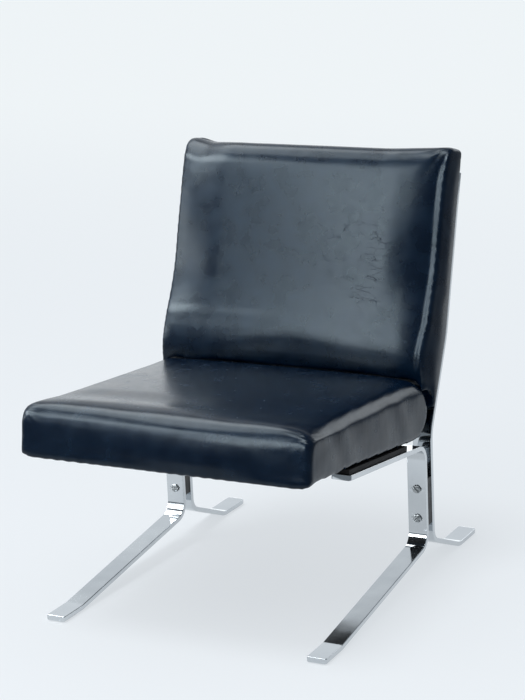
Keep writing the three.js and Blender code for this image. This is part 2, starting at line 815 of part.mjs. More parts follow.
// Tee nut with its flange at the bottom of its own Z and its barrel pointing down
function teeNutGeometry() {
  const bore = mountScrewRadius + contactGap;
  const profile = [
    new THREE.Vector2(bore, -teeBarrelLength),
    new THREE.Vector2(teeBarrelRadius, -teeBarrelLength),
    new THREE.Vector2(teeBarrelRadius, 0),
    new THREE.Vector2(teeFlangeRadius, 0),
    new THREE.Vector2(teeFlangeRadius, teeFlangeThickness),
    new THREE.Vector2(bore, teeFlangeThickness),
    new THREE.Vector2(bore, -teeBarrelLength),
  ];
  const nut = new THREE.LatheGeometry(profile, screwSides);
  return nut.rotateX(Math.PI / 2);
}

function mountScrewGeometry(grip) {
  return screwGeometry(
    mountScrewRadius, grip, mountHeadRadius, mountHeadHeight, mountSlotWidth, mountSlotDepth, 0,
  );
}

function addSeat(chair) {
  const seat = new THREE.Group();
  standAlong(seat, 0, armTopFront, armUp);
  chair.add(seat);
  addPiece(seat, 'seat_cover', seatCoverGeometry(), blackLeather());
  addPiece(seat, 'seat_foam', seatFoamGeometry(), foam());
  addPiece(seat, 'seat_rail_front', crossRailGeometry(railFront), wood());
  addPiece(seat, 'seat_rail_rear', crossRailGeometry(railRear - railWidth), wood());
  for (const [side, sign] of Object.entries(sides)) {
    addPiece(seat, `seat_rail_${side}`, sideRailGeometry(sign), wood());
    addPiece(seat, `seat_batten_${side}`, battenGeometry(sign), blackLacquer());
    for (const [place, along] of Object.entries(seatScrewSetbacks)) {
      const nut = addPiece(seat, `seat_tee_nut_${place}_${side}`, teeNutGeometry(), zincSteel());
      nut.position.set(sign * mountLine, along, railTop + contactGap);
      const head = -barThickness - contactGap;
      const grip = railTop + contactGap + teeFlangeThickness + mountScrewReach - head;
      const screw = addPiece(seat, `seat_screw_${place}_${side}`, mountScrewGeometry(grip), zincSteel());
      screw.position.set(sign * mountLine, along, head);
      screw.rotation.x = Math.PI;
    }
  }
  addWebbing(seat);
  addDustCover(seat);
}

// Rubber straps from side rail to side rail, between the tee nuts
function addWebbing(seat) {
  const reach = railOuter - railWidth + webbingTackLap;
  const first = railFront + railWidth + webbingWidth;
  const last = railRear - railWidth - webbingWidth;
  for (let k = 0; k < webbingCount; k += 1) {
    const middle = THREE.MathUtils.lerp(first, last, k / (webbingCount - 1));
    const strap = boxBetween(
      new THREE.Vector3(-reach, middle - webbingWidth / 2, railTop + contactGap),
      new THREE.Vector3(reach, middle + webbingWidth / 2, railTop + contactGap + webbingThickness),
    );
    addPiece(seat, `seat_webbing_${k + 1}`, strap, webbing());
  }
}

function addDustCover(seat) {
  const half = seatHalf - seatHemWidth + dustCoverLap;
  const top = seatBase - contactGap;
  const sheet = boxBetween(
    new THREE.Vector3(-half, seatHemWidth - dustCoverLap - seatOverhang, top - dustCoverThickness),
    new THREE.Vector3(half, railRear - seatHemWidth + dustCoverLap, top),
  );
  addPiece(seat, 'seat_dust_cover', sheet, blackCloth());
}

// Back

const coverRear = contactGap + rearPanelThickness + contactGap;
const boardNear = coverRear + coverThickness + contactGap;
const boardFar = boardNear + boardThickness;
const boardBottom = backBottom + boardBottomInset;
const boardTop = backTop - boardInset;
const boardHalf = backWidth / 2 - boardInset - backDrawIn;

// The seat's form, grown by a clearance and brought to its place under the back
function seatRoom(clearance) {
  const holder = standAlong(new THREE.Object3D(), 0, armTopFront, armUp);
  return seatForm(-clearance).applyMatrix4(holder.matrix);
}

function backHoles(sign, radius, near, far) {
  return Object.values(backScrewSetbacks).map((up) => {
    const middle = backPoint(up, (near + far) / 2);
    return drill(radius, far - near, sign * mountLine, middle, backNormal(up));
  });
}

function backCoverGeometry() {
  const outside = cut(backForm(0), [seatRoom(seatToBackGap)]);
  const inside = cut(backForm(coverThickness), [seatRoom(seatToBackGap + coverThickness)]);
  const openingHalf = backWidth / 2 - backHemWidth;
  const opening = backBoard(
    boardBottom + backHemWidth, backTop - backHemWidth, coverRear - cutOverrun, boardNear + cutOverrun,
    2 * openingHalf,
  );
  const near = coverRear - cutOverrun;
  const far = boardNear + cutOverrun;
  const holes = [];
  for (const sign of Object.values(sides)) {
    holes.push(...backHoles(sign, mountScrewRadius + contactGap, near, far));
  }
  return cut(outside, [inside, opening, ...holes]);
}

function backFoamGeometry() {
  const inset = coverThickness + foamGap;
  const room = backBoard(
    boardBottom - contactGap, boardTop + contactGap, 0, boardFar + contactGap,
    2 * (boardHalf + contactGap),
  );
  const nutTop = boardFar + contactGap + teeFlangeThickness;
  const pockets = [];
  for (const sign of Object.values(sides)) {
    pockets.push(...backHoles(sign, teeFlangeRadius + contactGap, boardNear, nutTop + contactGap));
    const tipRoom = mountScrewRadius + contactGap;
    pockets.push(...backHoles(sign, tipRoom, boardNear, nutTop + mountScrewReach + tipRoom));
  }
  return cut(backForm(inset), [seatRoom(seatToBackGap + inset), room, ...pockets]);
}

function backBoardGeometry() {
  const board = backBoard(boardBottom, boardTop, boardNear, boardFar, 2 * boardHalf);
  const near = boardNear - cutOverrun;
  const far = boardFar + cutOverrun;
  const holes = [];
  for (const sign of Object.values(sides)) {
    holes.push(...backHoles(sign, teeBarrelRadius + contactGap, near, far));
  }
  return cut(board, holes);
}

function rearPanelGeometry() {
  const panel = backBoard(
    backBottom + rearPanelBottomInset, backTop - rearPanelInset,
    contactGap, contactGap + rearPanelThickness,
    backWidth - 2 * rearPanelInset,
  );
  const holes = [];
  for (const sign of Object.values(sides)) {
    holes.push(...backHoles(sign, mountScrewRadius + contactGap, -cutOverrun, coverRear + cutOverrun));
  }
  return cut(panel, holes);
}

function addBack(chair) {
  addPiece(chair, 'back_cover', backCoverGeometry(), blackLeather());
  addPiece(chair, 'back_foam', backFoamGeometry(), foam());
  addPiece(chair, 'back_board', backBoardGeometry(), wood());
  addPiece(chair, 'back_rear_panel', rearPanelGeometry(), blackLeather());
  for (const [side, sign] of Object.entries(sides)) {
    for (const [place, up] of Object.entries(backScrewSetbacks)) {
      const nut = addPiece(chair, `back_tee_nut_${place}_${side}`, teeNutGeometry(), zincSteel());
      standAlong(nut, sign * mountLine, backPoint(up, boardFar + contactGap), backNormal(up));
      const grip = barThickness + contactGap + boardFar + contactGap + teeFlangeThickness + mountScrewReach;
      const screw = addPiece(chair, `back_screw_${place}_${side}`, mountScrewGeometry(grip), zincSteel());
      const head = backPoint(up, -barThickness - contactGap);
      standAlong(screw, sign * mountLine, head, backNormal(up).negate());
    }
  }
}

// The whole chair

const chair = new THREE.Group();
for (const [side, sign] of Object.entries(sides)) {
  addSideFrame(chair, side, sign);
}
addSeat(chair);
addBack(chair);

// Origin at the middle of the footprint
const bounds = new THREE.Box3().setFromObject(chair, true);
const middle = bounds.getCenter(new THREE.Vector3());
chair.position.set(-middle.x, -middle.y, -bounds.min.z);

export default chair;
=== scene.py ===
import math

import bmesh
import bpy
import numpy as np
from mathutils import Matrix, Vector
from mathutils.bvhtree import BVHTree


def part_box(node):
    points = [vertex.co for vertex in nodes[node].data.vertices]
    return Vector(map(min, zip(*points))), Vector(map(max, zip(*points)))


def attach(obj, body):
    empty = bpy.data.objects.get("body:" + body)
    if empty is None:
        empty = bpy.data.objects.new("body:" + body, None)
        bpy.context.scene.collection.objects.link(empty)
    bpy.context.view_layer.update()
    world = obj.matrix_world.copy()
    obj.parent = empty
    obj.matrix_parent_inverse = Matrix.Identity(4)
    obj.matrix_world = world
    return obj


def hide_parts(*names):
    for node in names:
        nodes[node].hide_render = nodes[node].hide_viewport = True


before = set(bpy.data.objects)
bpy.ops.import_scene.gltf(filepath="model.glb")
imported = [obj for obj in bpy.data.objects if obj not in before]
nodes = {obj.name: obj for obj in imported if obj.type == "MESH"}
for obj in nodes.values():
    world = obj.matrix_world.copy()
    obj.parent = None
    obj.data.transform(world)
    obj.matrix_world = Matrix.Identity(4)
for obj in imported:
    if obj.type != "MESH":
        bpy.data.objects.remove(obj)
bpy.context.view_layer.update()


# Studio floor
# A pale seamless floor that runs on behind the chair as its background. It stays pale to the camera
# and keeps the chair's shadow. Reflections find it pale only around the chair, and dim beyond.

floor_size = 60.0
floor_colour = (0.665, 0.695, 0.72, 1)
floor_glow = (0.862, 0.905, 0.945, 1)
far_glow = (0.94, 0.985, 1.0, 1)
far_glow_run = (1.5, 7.0)
floor_glow_share = 0.68
dim_room = (0.20, 0.225, 0.25, 1)
# Where reflections find the pale paper. Its right edge runs outwards behind the chair, and its
# far edge ends to the left of the chair.
paper_front = -1.15
paper_right = 1.1
paper_right_start = 0.36
paper_right_slope = 0.385
paper_far = 4.4
paper_far_left = (-1.5, -0.5)
paper_edge = 0.3


class Wire:
    """An output of a node, with the arithmetic that the trees below are written in."""

    def __init__(self, tree, socket):
        self.tree = tree
        self.socket = socket

    def out(self, name):
        return Wire(self.tree, self.socket.node.outputs[name])

    def add(self, kind, values=None, **settings):
        """Adds a node with these input values and settings and goes on from its first output."""
        made = self.tree.nodes.new(kind)
        for key, value in settings.items():
            setattr(made, key, value)
        for key, value in (values or {}).items():
            if isinstance(value, Wire):
                self.tree.links.new(value.socket, made.inputs[key])
            else:
                made.inputs[key].default_value = value
        return Wire(self.tree, made.outputs[0]) if made.outputs else made

    def math(self, operation, first, second=0.0):
        return self.add("ShaderNodeMath", {0: first, 1: second}, operation=operation)

    def __add__(self, other):
        return self.math("ADD", self, other)

    def __sub__(self, other):
        return self.math("SUBTRACT", self, other)

    def __rsub__(self, other):
        return self.math("SUBTRACT", other, self)

    def __mul__(self, other):
        return self.math("MULTIPLY", self, other)

    def __truediv__(self, other):
        return self.math("DIVIDE", self, other)

    def __pow__(self, other):
        return self.math("POWER", self, other)

    def most(self, other):
        return self.math("MAXIMUM", self, other)

    def step(self, low, high, to_low=0.0, to_high=1.0):
        values = {"Value": self, "From Min": low, "From Max": high, "To Min": to_low, "To Max": to_high}
        return self.add("ShaderNodeMapRange", values, interpolation_type="SMOOTHSTEP")

    def fall(self, low, high):
        return self.step(low, high, 1.0, 0.0)

    def within(self, low, high, soft):
        """One between two limits and nothing beyond them, with soft edges."""
        return self.step(low - soft, low + soft) * self.fall(high - soft, high + soft)

    def tint(self, dark, light):
        mixed = self.add("ShaderNodeMix", {0: self, 6: dark, 7: light}, data_type="RGBA")
        return Wire(self.tree, mixed.socket.node.outputs[2])

    def noise(self, scale, detail, **more):
        values = {"Vector": self, "Scale": scale, "Detail": detail}
        for key, value in more.items():
            values[key.capitalize()] = value
        return self.add("ShaderNodeTexNoise", values)

    def mapped(self, scale, rotation=(0, 0, 0)):
        """This place scaled and turned, so that what is drawn on it stretches and slants."""
        return self.add("ShaderNodeMapping", {"Vector": self, "Rotation": rotation, "Scale": scale})

    def split(self):
        """A wire at X, from which out() reaches Y and Z."""
        return self.add("ShaderNodeSeparateXYZ", {0: self})

    def vector(self, **parts):
        return self.add("ShaderNodeCombineXYZ", {key.upper(): value for key, value in parts.items()})


def new_finish(name):
    """A material and a wire that starts at the piece's own coordinates."""
    material = bpy.data.materials.new(name)
    material.use_nodes = True
    tree = material.node_tree
    tree.nodes.clear()
    coordinates = tree.nodes.new("ShaderNodeTexCoord")
    return material, Wire(tree, coordinates.outputs["Object"])


def surface(place, values):
    """Ends a finish in a Principled shader."""
    shader = place.add("ShaderNodeBsdfPrincipled", values)
    place.add("ShaderNodeOutputMaterial", {"Surface": shader})


def bump(place, height, distance):
    """A relief from heights, which the distance turns into metres."""
    return place.add("ShaderNodeBump", {"Height": height, "Distance": distance, "Strength": 1.0})


def shows_itself(light_path):
    """One for rays that show a thing itself, from the camera straight, mirrored or refracted."""
    seen = light_path.out("Is Camera Ray").most(light_path.out("Is Glossy Ray"))
    return seen.most(light_path.out("Is Transmission Ray"))


def in_scene(name, data):
    thing = bpy.data.objects.new(name, data)
    bpy.context.scene.collection.objects.link(thing)
    return thing


def mesh_piece(name, vertices, faces, material):
    mesh = bpy.data.meshes.new(name)
    mesh.from_pydata([tuple(v) for v in vertices], [], [tuple(f) for f in faces])
    mesh.materials.append(material)
    mesh.update()
    return in_scene(name, mesh)


floor_finish, place = new_finish("pale_floor")
light_path = place.add("ShaderNodeLightPath")
seen = shows_itself(light_path)
spot = place.split()
paper = spot.out("Y").step(paper_front - paper_edge, paper_front + paper_edge)
right_limit = (spot.out("Y") * paper_right_slope + paper_right_start).most(paper_right)
paper = paper * (spot - right_limit).fall(-paper_edge, paper_edge)
near = spot.out("Y").fall(paper_far - paper_edge, paper_far + paper_edge)
paper = paper * near.most(spot.fall(*paper_far_left))
paper = paper.most(light_path.out("Is Camera Ray"))
matt = place.add("ShaderNodeBsdfDiffuse", {"Color": floor_colour})
pale = spot.out("Y").step(*far_glow_run).tint(floor_glow, far_glow)
glow = place.add("ShaderNodeEmission", {"Color": paper.tint(dim_room, pale)})
share = (seen * floor_glow_share).most(1 - paper)
mixed = place.add("ShaderNodeMixShader", {0: seen * share, 1: matt, 2: glow})
place.add("ShaderNodeOutputMaterial", {"Surface": mixed})

half = floor_size / 2
corners = [(-half, -half, 0), (half, -half, 0), (half, half, 0), (-half, half, 0)]
floor = mesh_piece("studio_floor", corners, [(0, 1, 2, 3)], floor_finish)


# Studio light
# A pale room with bright windows in front of the chair and to its left, dim ones behind it, two
# soft boxes and a wide overhead light. Left is the viewer's left, as in the pieces' names. The
# windows show only in shining surfaces, where they make the broad sheen of the leather.

room_light = (0.95, 0.975, 1.0, 1)
room_strength = 0.7
# The limits of the pale wall behind the chair, as parts of a reflection's direction
wall_front = (-0.25, 0.25)
wall_top = (0.50, 0.72)
wall_right = (0.15, 0.45)
wall_foot = (0.03, 0.12)
wall_foot_left = (-0.38, -0.28)

window_glow = (0.95, 0.98, 1.0)
# Degrees to the left of the chair's front and above the floor
windows = [
    {"right": 15, "left": 25, "low": 12, "high": 38, "softness": 7, "level": 21.0},
    {"right": 29, "left": 43, "low": 30, "high": 44, "softness": 5, "level": 10.0},
    {"right": 66, "left": 140, "low": 44, "high": 66, "softness": 7, "level": 7.5},
    {"right": 46, "left": 78, "low": 27, "high": 42, "softness": 5, "level": 20.0},
    {"right": 54, "left": 72, "low": 3, "high": 16, "softness": 5, "level": 11.0},
    {"right": 146, "left": 172, "low": -2, "high": 10, "softness": 5, "level": 1.7},
    {"right": -174, "left": -152, "low": 10, "high": 26, "softness": 5, "level": 2.4},
]

world = bpy.data.worlds.new("pale_room")
bpy.context.scene.world = world
world.use_nodes = True
world.node_tree.nodes.clear()
start = Wire(world.node_tree, world.node_tree.nodes.new("ShaderNodeLightPath").outputs[0])
seen = shows_itself(start)
room = start.add("ShaderNodeBackground", {"Color": room_light, "Strength": room_strength})
look = start.add("ShaderNodeTexCoord").out("Generated").split()
behind = look.out("Y").step(*wall_front) * look.out("Z").fall(*wall_top)
foot = look.out("Z").step(*wall_foot).most(look.fall(*wall_foot_left))
behind = (behind * look.fall(*wall_right) * foot).most(start.out("Is Camera Ray"))
backward = look.out("Y") * -1.0
to_left = look.math("ARCTAN2", look * -1.0, backward) * math.degrees(1)
above = look.math("ARCSINE", look.out("Z")) * math.degrees(1)
shown = behind.tint(dim_room, floor_glow)
for window in windows:
    pane = to_left.within(window["right"], window["left"], window["softness"])
    pane = pane * above.within(window["low"], window["high"], window["softness"])
    pane = pane * (1 - start.out("Is Camera Ray"))
    shown = pane.tint(shown, [level * window["level"] for level in window_glow] + [1])
pale = start.add("ShaderNodeBackground", {"Color": shown, "Strength": 1.0})
both = start.add("ShaderNodeMixShader", {0: seen, 1: room, 2: pale})
start.add("ShaderNodeOutputWorld", {"Surface": both})

lamp_tone = (0.97, 0.985, 1.0)
lamp_aim = (0, 0.2, 0.6)
lamp_distance = 2.6
# Degrees to the left of the chair's front and above the floor, size in metres and power in watts
soft_boxes = {"front_soft_box": (10, 35, 1.6, 17), "side_soft_box": (47, 45, 1.2, 7)}
overhead_strength = 1.2
overhead_spread = 22
overhead_from = (-0.14, -0.20, 0.96)


def lamp(name, kind, energy, away):
    """A lamp that shines from a direction."""
    light = bpy.data.lights.new(name, kind)
    light.energy = energy
    light.color = lamp_tone
    holder = in_scene(name, light)
    holder.rotation_euler = away.to_track_quat("Z", "Y").to_euler()
    return holder


for name, (azimuth, elevation, width, watts) in soft_boxes.items():
    turn, rise = math.radians(azimuth), math.radians(elevation)
    level = Vector((-math.sin(turn), -math.cos(turn), 0)) * math.cos(rise)
    away = (level + Vector((0, 0, math.sin(rise)))).normalized()
    soft_box = lamp(name, "AREA", watts, away)
    soft_box.data.size = width
    soft_box.location = Vector(lamp_aim) + away * lamp_distance
    soft_box.visible_glossy = False

overhead = lamp("high_soft_light", "SUN", overhead_strength, Vector(overhead_from))
overhead.data.angle = math.radians(overhead_spread)


# Camera
# It stands in front of the chair and to its right, nearly 1.5 m above the floor, with the place,
# the focal length and the centre that were fitted to both side frames in the photograph.

camera_place = (1.7569, -3.4849, 1.4589)
camera_turn = math.radians(26.68)
camera_tilt = math.radians(13.55)
camera_roll = math.radians(-1.86)
focal_length_px = 2036.1
image_width_px = 525
image_height_px = 700
centre_px = (260.7, 331.1)
sensor_height = 36
clip_end = 100

ahead = Vector((
    -math.sin(camera_turn) * math.cos(camera_tilt),
    math.cos(camera_turn) * math.cos(camera_tilt),
    -math.sin(camera_tilt),
))
level = Vector((math.cos(camera_turn), math.sin(camera_turn), 0))
upright = level.cross(ahead)
across = level * math.cos(camera_roll) + upright * math.sin(camera_roll)
upward = upright * math.cos(camera_roll) - level * math.sin(camera_roll)

camera_data = bpy.data.cameras.new("camera")
camera_data.sensor_fit = "VERTICAL"
camera_data.sensor_height = sensor_height
camera_data.lens = focal_length_px / image_height_px * sensor_height
camera_data.shift_x = (image_width_px / 2 - centre_px[0]) / image_height_px
camera_data.shift_y = (centre_px[1] - image_height_px / 2) / image_height_px
camera_data.clip_end = clip_end
camera = in_scene("camera", camera_data)
turn = Matrix((across, upward, -ahead)).transposed()
camera.matrix_world = Matrix.Translation(camera_place) @ turn.to_4x4()
bpy.context.scene.camera = camera
bpy.context.scene.view_settings.view_transform = "Standard"


# Side frame bars
# Each side frame is two lengths of flat steel bar, bent cold, with softened edges, then polished
# and chromed. They are drawn here along their middle lines, so that the bends are smooth.

bar_width = 0.040
bar_thickness = 0.010
bar_edge_round = 0.0014
bar_step = 0.0025
bend_radius = 0.033
foot_bend_radius = 0.060
hip_bend_radius = 0.080
lumbar_bend_radius = 0.200
rear_foot_round = 0.007
post_screw_middle = 0.153
post_screw_pitch = 0.062
post_shank_radius = 0.004
mount_shank_radius = 0.003
end_round = 0.0025
bend_steps = 24
edge_steps = 4
drill_segments = 24
same_point = 1e-6
glide_thickness = 0.002
contact_gap = 0.0003
spacer_thickness = 0.022
front_foot_length = 0.072
post_setback = 0.5015
knee_height = 0.0645
post_lean = 0.006
elbow_height = 0.2734
arm_front_setback = 0.126
arm_front_height = 0.3178
rear_foot_end = 0.7755
rear_foot_length = 0.095
hip_height = 0.294
lower_back_run = 0.0865
lower_back_rise = 0.181
upper_back_run = 0.0875
upper_back_rise = 0.320

foot_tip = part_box("front_bar_right")[0][1]
bar_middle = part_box("front_bar_right")[1][0] - bar_width / 2


def left_of(direction):
    """A side-view direction turned a quarter turn to its left."""
    return Vector((-direction.y, direction.x))


# Corners in the side view, as setback behind the front foot's tip and height
foot_middle = glide_thickness + contact_gap + bar_thickness / 2
front_corners = [
    Vector((0, foot_middle)),
    Vector((front_foot_length, foot_middle)),
    Vector((post_setback, knee_height)),
    Vector((post_setback - post_lean, elbow_height)),
    Vector((arm_front_setback, arm_front_height)),
]
post_line = (front_corners[3] - front_corners[2]).normalized()
post_front = left_of(post_line)
bar_spacing = bar_thickness + spacer_thickness + 2 * contact_gap
rear_knee = front_corners[2] - post_front * bar_spacing
hip = rear_knee + post_line * ((hip_height - rear_knee.y) / post_line.y)
lumbar = hip + Vector((lower_back_run, lower_back_rise))
bar_top = lumbar + Vector((upper_back_run, upper_back_rise))
rear_corners = [
    Vector((rear_foot_end, foot_middle)),
    Vector((rear_foot_end - rear_foot_length, foot_middle)),
    rear_knee,
    hip,
    lumbar,
    bar_top,
]


def in_room(x, side_view):
    """A side-view point at a distance from the chair's middle plane."""
    return Vector((x, side_view.x + foot_tip, side_view.y))


def new_tree(name, numbers, others):
    """A geometry tree with its inputs, and a wire at the first of them, which is geometry."""
    tree = bpy.data.node_groups.new(name, "GeometryNodeTree")
    inputs = {"Geometry": "Geometry", **dict.fromkeys(numbers, "Float"), **others, "Finish": "Material"}
    for key, kind in inputs.items():
        socket = tree.interface.new_socket(key, in_out="INPUT", socket_type="NodeSocket" + kind)
        if key in numbers:
            socket.default_value = numbers[key]
    tree.interface.new_socket("Piece", in_out="OUTPUT", socket_type="NodeSocketGeometry")
    return Wire(tree, tree.nodes.new("NodeGroupInput").outputs[0])


def end_tree(given, made):
    """Ends a tree with real geometry that has the tree's finish."""
    made = made.add("GeometryNodeRealizeInstances", {"Geometry": made})
    made = made.add("GeometryNodeSetMaterial", {"Geometry": made, "Material": given.out("Finish")})
    given.tree.links.new(made.socket, given.tree.nodes.new("NodeGroupOutput").inputs[0])
    return given.tree


def run_tree(piece, tree, settings):
    """Runs a tree on a piece's mesh and keeps the result as its plain mesh."""
    modifier = piece.modifiers.new(tree.name, "NODES")
    modifier.node_group = tree
    names = {item.name: item.identifier for item in tree.interface.items_tree if item.in_out == "INPUT"}
    for name, value in settings.items():
        modifier[names[name]] = value
    keep_modifiers(piece)


def keep_modifiers(piece):
    bpy.context.view_layer.update()
    evaluated = piece.evaluated_get(bpy.context.evaluated_depsgraph_get())
    mesh = bpy.data.meshes.new_from_object(evaluated)
    piece.modifiers.clear()
    piece.data = mesh
    mesh.name = piece.name


def bar_tree():
    """Sweeps a flat section along bent corners, rounds both ends in plan and drills the holes."""
    numbers = {
        "Width": bar_width,
        "Thickness": bar_thickness,
        "Edge round": bar_edge_round,
        "Step": bar_step,
        "Start round": end_round,
        "End round": end_round,
        "Middle": 0.0,
    }
    given = new_tree("bent_flat_bar", numbers, {"Drills": "Object"})
    line = given.add("GeometryNodeMeshToCurve", {"Mesh": given})
    bent = {"Curve": line, "Radius": named(given, "bend"), "Count": bend_steps}
    line = given.add("GeometryNodeFilletCurve", bent, mode="POLY")
    even = {"Curve": line, "Length": given.out("Step")}
    line = given.add("GeometryNodeResampleCurve", even, mode="LENGTH")
    along = given.add("GeometryNodeSplineParameter").out("Length")
    total = given.add("GeometryNodeSplineLength")
    line = store(line, "from_start", along)
    line = store(line, "from_end", total - along)
    flat = {"Width": given.out("Width"), "Height": given.out("Thickness")}
    section = given.add("GeometryNodeCurvePrimitiveQuadrilateral", flat)
    softened = {"Curve": section, "Radius": given.out("Edge round"), "Count": edge_steps}
    section = given.add("GeometryNodeFilletCurve", softened, mode="POLY")
    sweep = {"Curve": line, "Profile Curve": section, "Fill Caps": True}
    bar = given.add("GeometryNodeCurveToMesh", sweep)
    narrowing = end_narrowing(given, "from_start", given.out("Start round"))
    narrowing = narrowing + end_narrowing(given, "from_end", given.out("End round"))
    x = given.add("GeometryNodeInputPosition").split()
    shift = (x - given.out("Middle")) * narrowing / given.out("Width") * -2
    bar = given.add("GeometryNodeSetPosition", {"Geometry": bar, "Offset": given.vector(x=shift)})
    drills = given.add("GeometryNodeObjectInfo", {"Object": given.out("Drills")}).out("Geometry")
    return end_tree(given, boolean(given, "DIFFERENCE", bar, [drills]))


def named(given, name, kind="FLOAT"):
    """A value that is kept at each point under a name."""
    return given.add("GeometryNodeInputNamedAttribute", {"Name": name}, data_type=kind)


def store(geometry, name, value):
    values = {"Geometry": geometry, "Name": name, "Value": value}
    return geometry.add("GeometryNodeStoreNamedAttribute", values, data_type="FLOAT", domain="POINT")


def boolean(given, operation, first, others):
    made = given.add("GeometryNodeMeshBoolean", operation=operation, solver="EXACT")
    node = made.socket.node
    if first is not None:
        given.tree.links.new(first.socket, node.inputs["Mesh 1"])
    for other in others:
        given.tree.links.new(other.socket, node.inputs["Mesh 2"])
    return made


def end_narrowing(given, distance_name, radius):
    """How far each long edge has moved in at a distance from a bar's end."""
    left = (radius - named(given, distance_name)).most(0.0)
    return radius - (radius * radius - left * left).most(0.0) ** 0.5


chrome_finish, place = new_finish("polished_chrome")
smudge = place.noise(9.0, 4.0)
hairline = place.noise(260.0, 2.0)
ripple = place.noise(14.0, 1.0)
surface(place, {
    "Base Color": smudge.step(0.3, 0.75).tint((0.55, 0.58, 0.605, 1), (0.63, 0.66, 0.68, 1)),
    "Metallic": 1.0,
    "Roughness": smudge.step(0.35, 0.8, 0.055, 0.13) + hairline * 0.03,
    "Normal": bump(place, ripple, 0.0006),
})

flat_bar = bar_tree()


def drill_rods(name, holes):
    """Round rods where a bar is drilled. A hole is a middle, an axis, a radius and a length."""
    shape = bmesh.new()
    for middle, axis, radius, length in holes:
        turn = Vector(axis).to_track_quat("Z", "X").to_matrix().to_4x4()
        bmesh.ops.create_cone(
            shape, cap_ends=True, segments=drill_segments, radius1=radius, radius2=radius, depth=length,
            matrix=Matrix.Translation(middle) @ turn,
        )
    mesh = bpy.data.meshes.new(name)
    shape.to_mesh(mesh)
    shape.free()
    return in_scene(name, mesh)


def bent_bar(name, corners, bends, x, foot_round, holes, node):
    """A chromed bar along side-view corners, in place of a CAD bar."""
    points = [in_room(x, corner) for corner in corners]
    mesh = bpy.data.meshes.new(name)
    mesh.from_pydata(points, [(i, i + 1) for i in range(len(points) - 1)], [])
    mesh.attributes.new("bend", "FLOAT", "POINT").data.foreach_set("value", [0, *bends, 0])
    bar = in_scene(name, mesh)
    rods = drill_rods("drills", holes)
    run_tree(bar, flat_bar, {
        "Start round": foot_round,
        "Middle": x,
        "Drills": rods,
        "Finish": chrome_finish,
    })
    bpy.data.objects.remove(rods)
    finish_solid(bar)
    dress(bar, [node])


def turn_outward(piece, nearest=0.0):
    """Joins points nearer than this, turns the faces outward and shades them smoothly."""
    shape = bmesh.new()
    shape.from_mesh(piece.data)
    if nearest:
        bmesh.ops.remove_doubles(shape, verts=shape.verts, dist=nearest)
    bmesh.ops.recalc_face_normals(shape, faces=shape.faces)
    for face in shape.faces:
        face.smooth = True
    shape.to_mesh(piece.data)
    shape.free()


def finish_solid(piece):
    """A solid that shades as flat sides with rounded edges."""
    turn_outward(piece, same_point)
    piece.modifiers.new("flat_sides", "WEIGHTED_NORMAL").weight = 100


def dress(piece, replaced):
    """Attaches a piece to the chair's body and hides the CAD nodes that it stands for."""
    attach(piece, "root")
    if replaced:
        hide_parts(*replaced)


# The line of the back, along which the rear bars and everything on them run
lower_line = (lumbar - hip).normalized()
upper_line = (bar_top - lumbar).normalized()
lumbar_turn = math.atan2(
    lower_line.x * upper_line.y - lower_line.y * upper_line.x, lower_line.dot(upper_line))
lumbar_start = (lumbar - hip).length - lumbar_bend_radius * math.tan(abs(lumbar_turn) / 2)
lumbar_arc = lumbar_bend_radius * abs(lumbar_turn)
lumbar_centre = hip + lower_line * lumbar_start + left_of(lower_line) * lumbar_bend_radius


def turned_line(bent):
    """The direction of the back line, rearwards and up, where it has turned by an angle."""
    return (
        lower_line.x * np.cos(bent) - lower_line.y * np.sin(bent),
        lower_line.x * np.sin(bent) + lower_line.y * np.cos(bent),
    )


def back_heading(up):
    """The direction of the back line at a distance up it."""
    return turned_line(np.clip((np.asarray(up, float) - lumbar_start) / lumbar_arc, 0, 1) * lumbar_turn)


def back_place(x, up, forward):
    """Room places from a distance up the back line and in front of the bars' front faces."""
    up = np.asarray(up, float)
    hx, hz = back_heading(up)
    straight = np.where(up < lumbar_start, up - lumbar_start, np.maximum(0, up - lumbar_start - lumbar_arc))
    away = np.asarray(forward, float) + bar_thickness / 2 - lumbar_bend_radius
    y = lumbar_centre.x + hx * straight - hz * away
    z = lumbar_centre.y + hz * straight + hx * away
    return np.stack([np.broadcast_to(x, y.shape), y + foot_tip, z], axis=-1)


arm_line = (front_corners[3] - front_corners[4]).normalized()
arm_up = left_of(arm_line)
arm_top_front = front_corners[4] + arm_up * (bar_thickness / 2)


def seat_place(x, along, up):
    """Room places from a distance back along the arms and a height above their top faces."""
    along = np.asarray(along, float)
    up = np.asarray(up, float)
    y = arm_top_front.x + along * arm_line.x + up * arm_up.x
    z = arm_top_front.y + along * arm_line.y + up * arm_up.y
    return np.stack([np.broadcast_to(x, y.shape), y + foot_tip, z], axis=-1)


def direction(vector):
    """A side-view direction in the room."""
    return Vector((0, vector.x, vector.y))


def post_point(height, forward):
    """A side-view point at a height on the post and in front of its front bar's middle."""
    rise = (height - front_corners[2].y) / post_line.y
    return front_corners[2] + post_line * rise + post_front * forward


mount_line = 0.270
seat_screw_setbacks = {"front": 0.052, "rear": 0.238}
back_screw_heights = {"lower": 0.118, "upper": 0.470}
post_screw_heights = {
    "upper": post_screw_middle + post_screw_pitch / 2,
    "lower": post_screw_middle - post_screw_pitch / 2,
}
hole_room = 0.0003
post_hole_radius = post_shank_radius + hole_room
mount_hole_radius = mount_shank_radius + hole_room
post_drill_length = 0.08
mount_drill_length = 0.03
front_bends = [foot_bend_radius, bend_radius, bend_radius]
rear_bends = [foot_bend_radius, bend_radius, hip_bend_radius, lumbar_bend_radius]


def back_holes(x, forward):
    """Holes for the back's screws on one side, at a distance in front of the bars."""
    holes = []
    for up in back_screw_heights.values():
        hx, hz = back_heading(up)
        holes.append((back_place(x, up, forward), (0, -hz, hx), mount_hole_radius, mount_drill_length))
    return holes


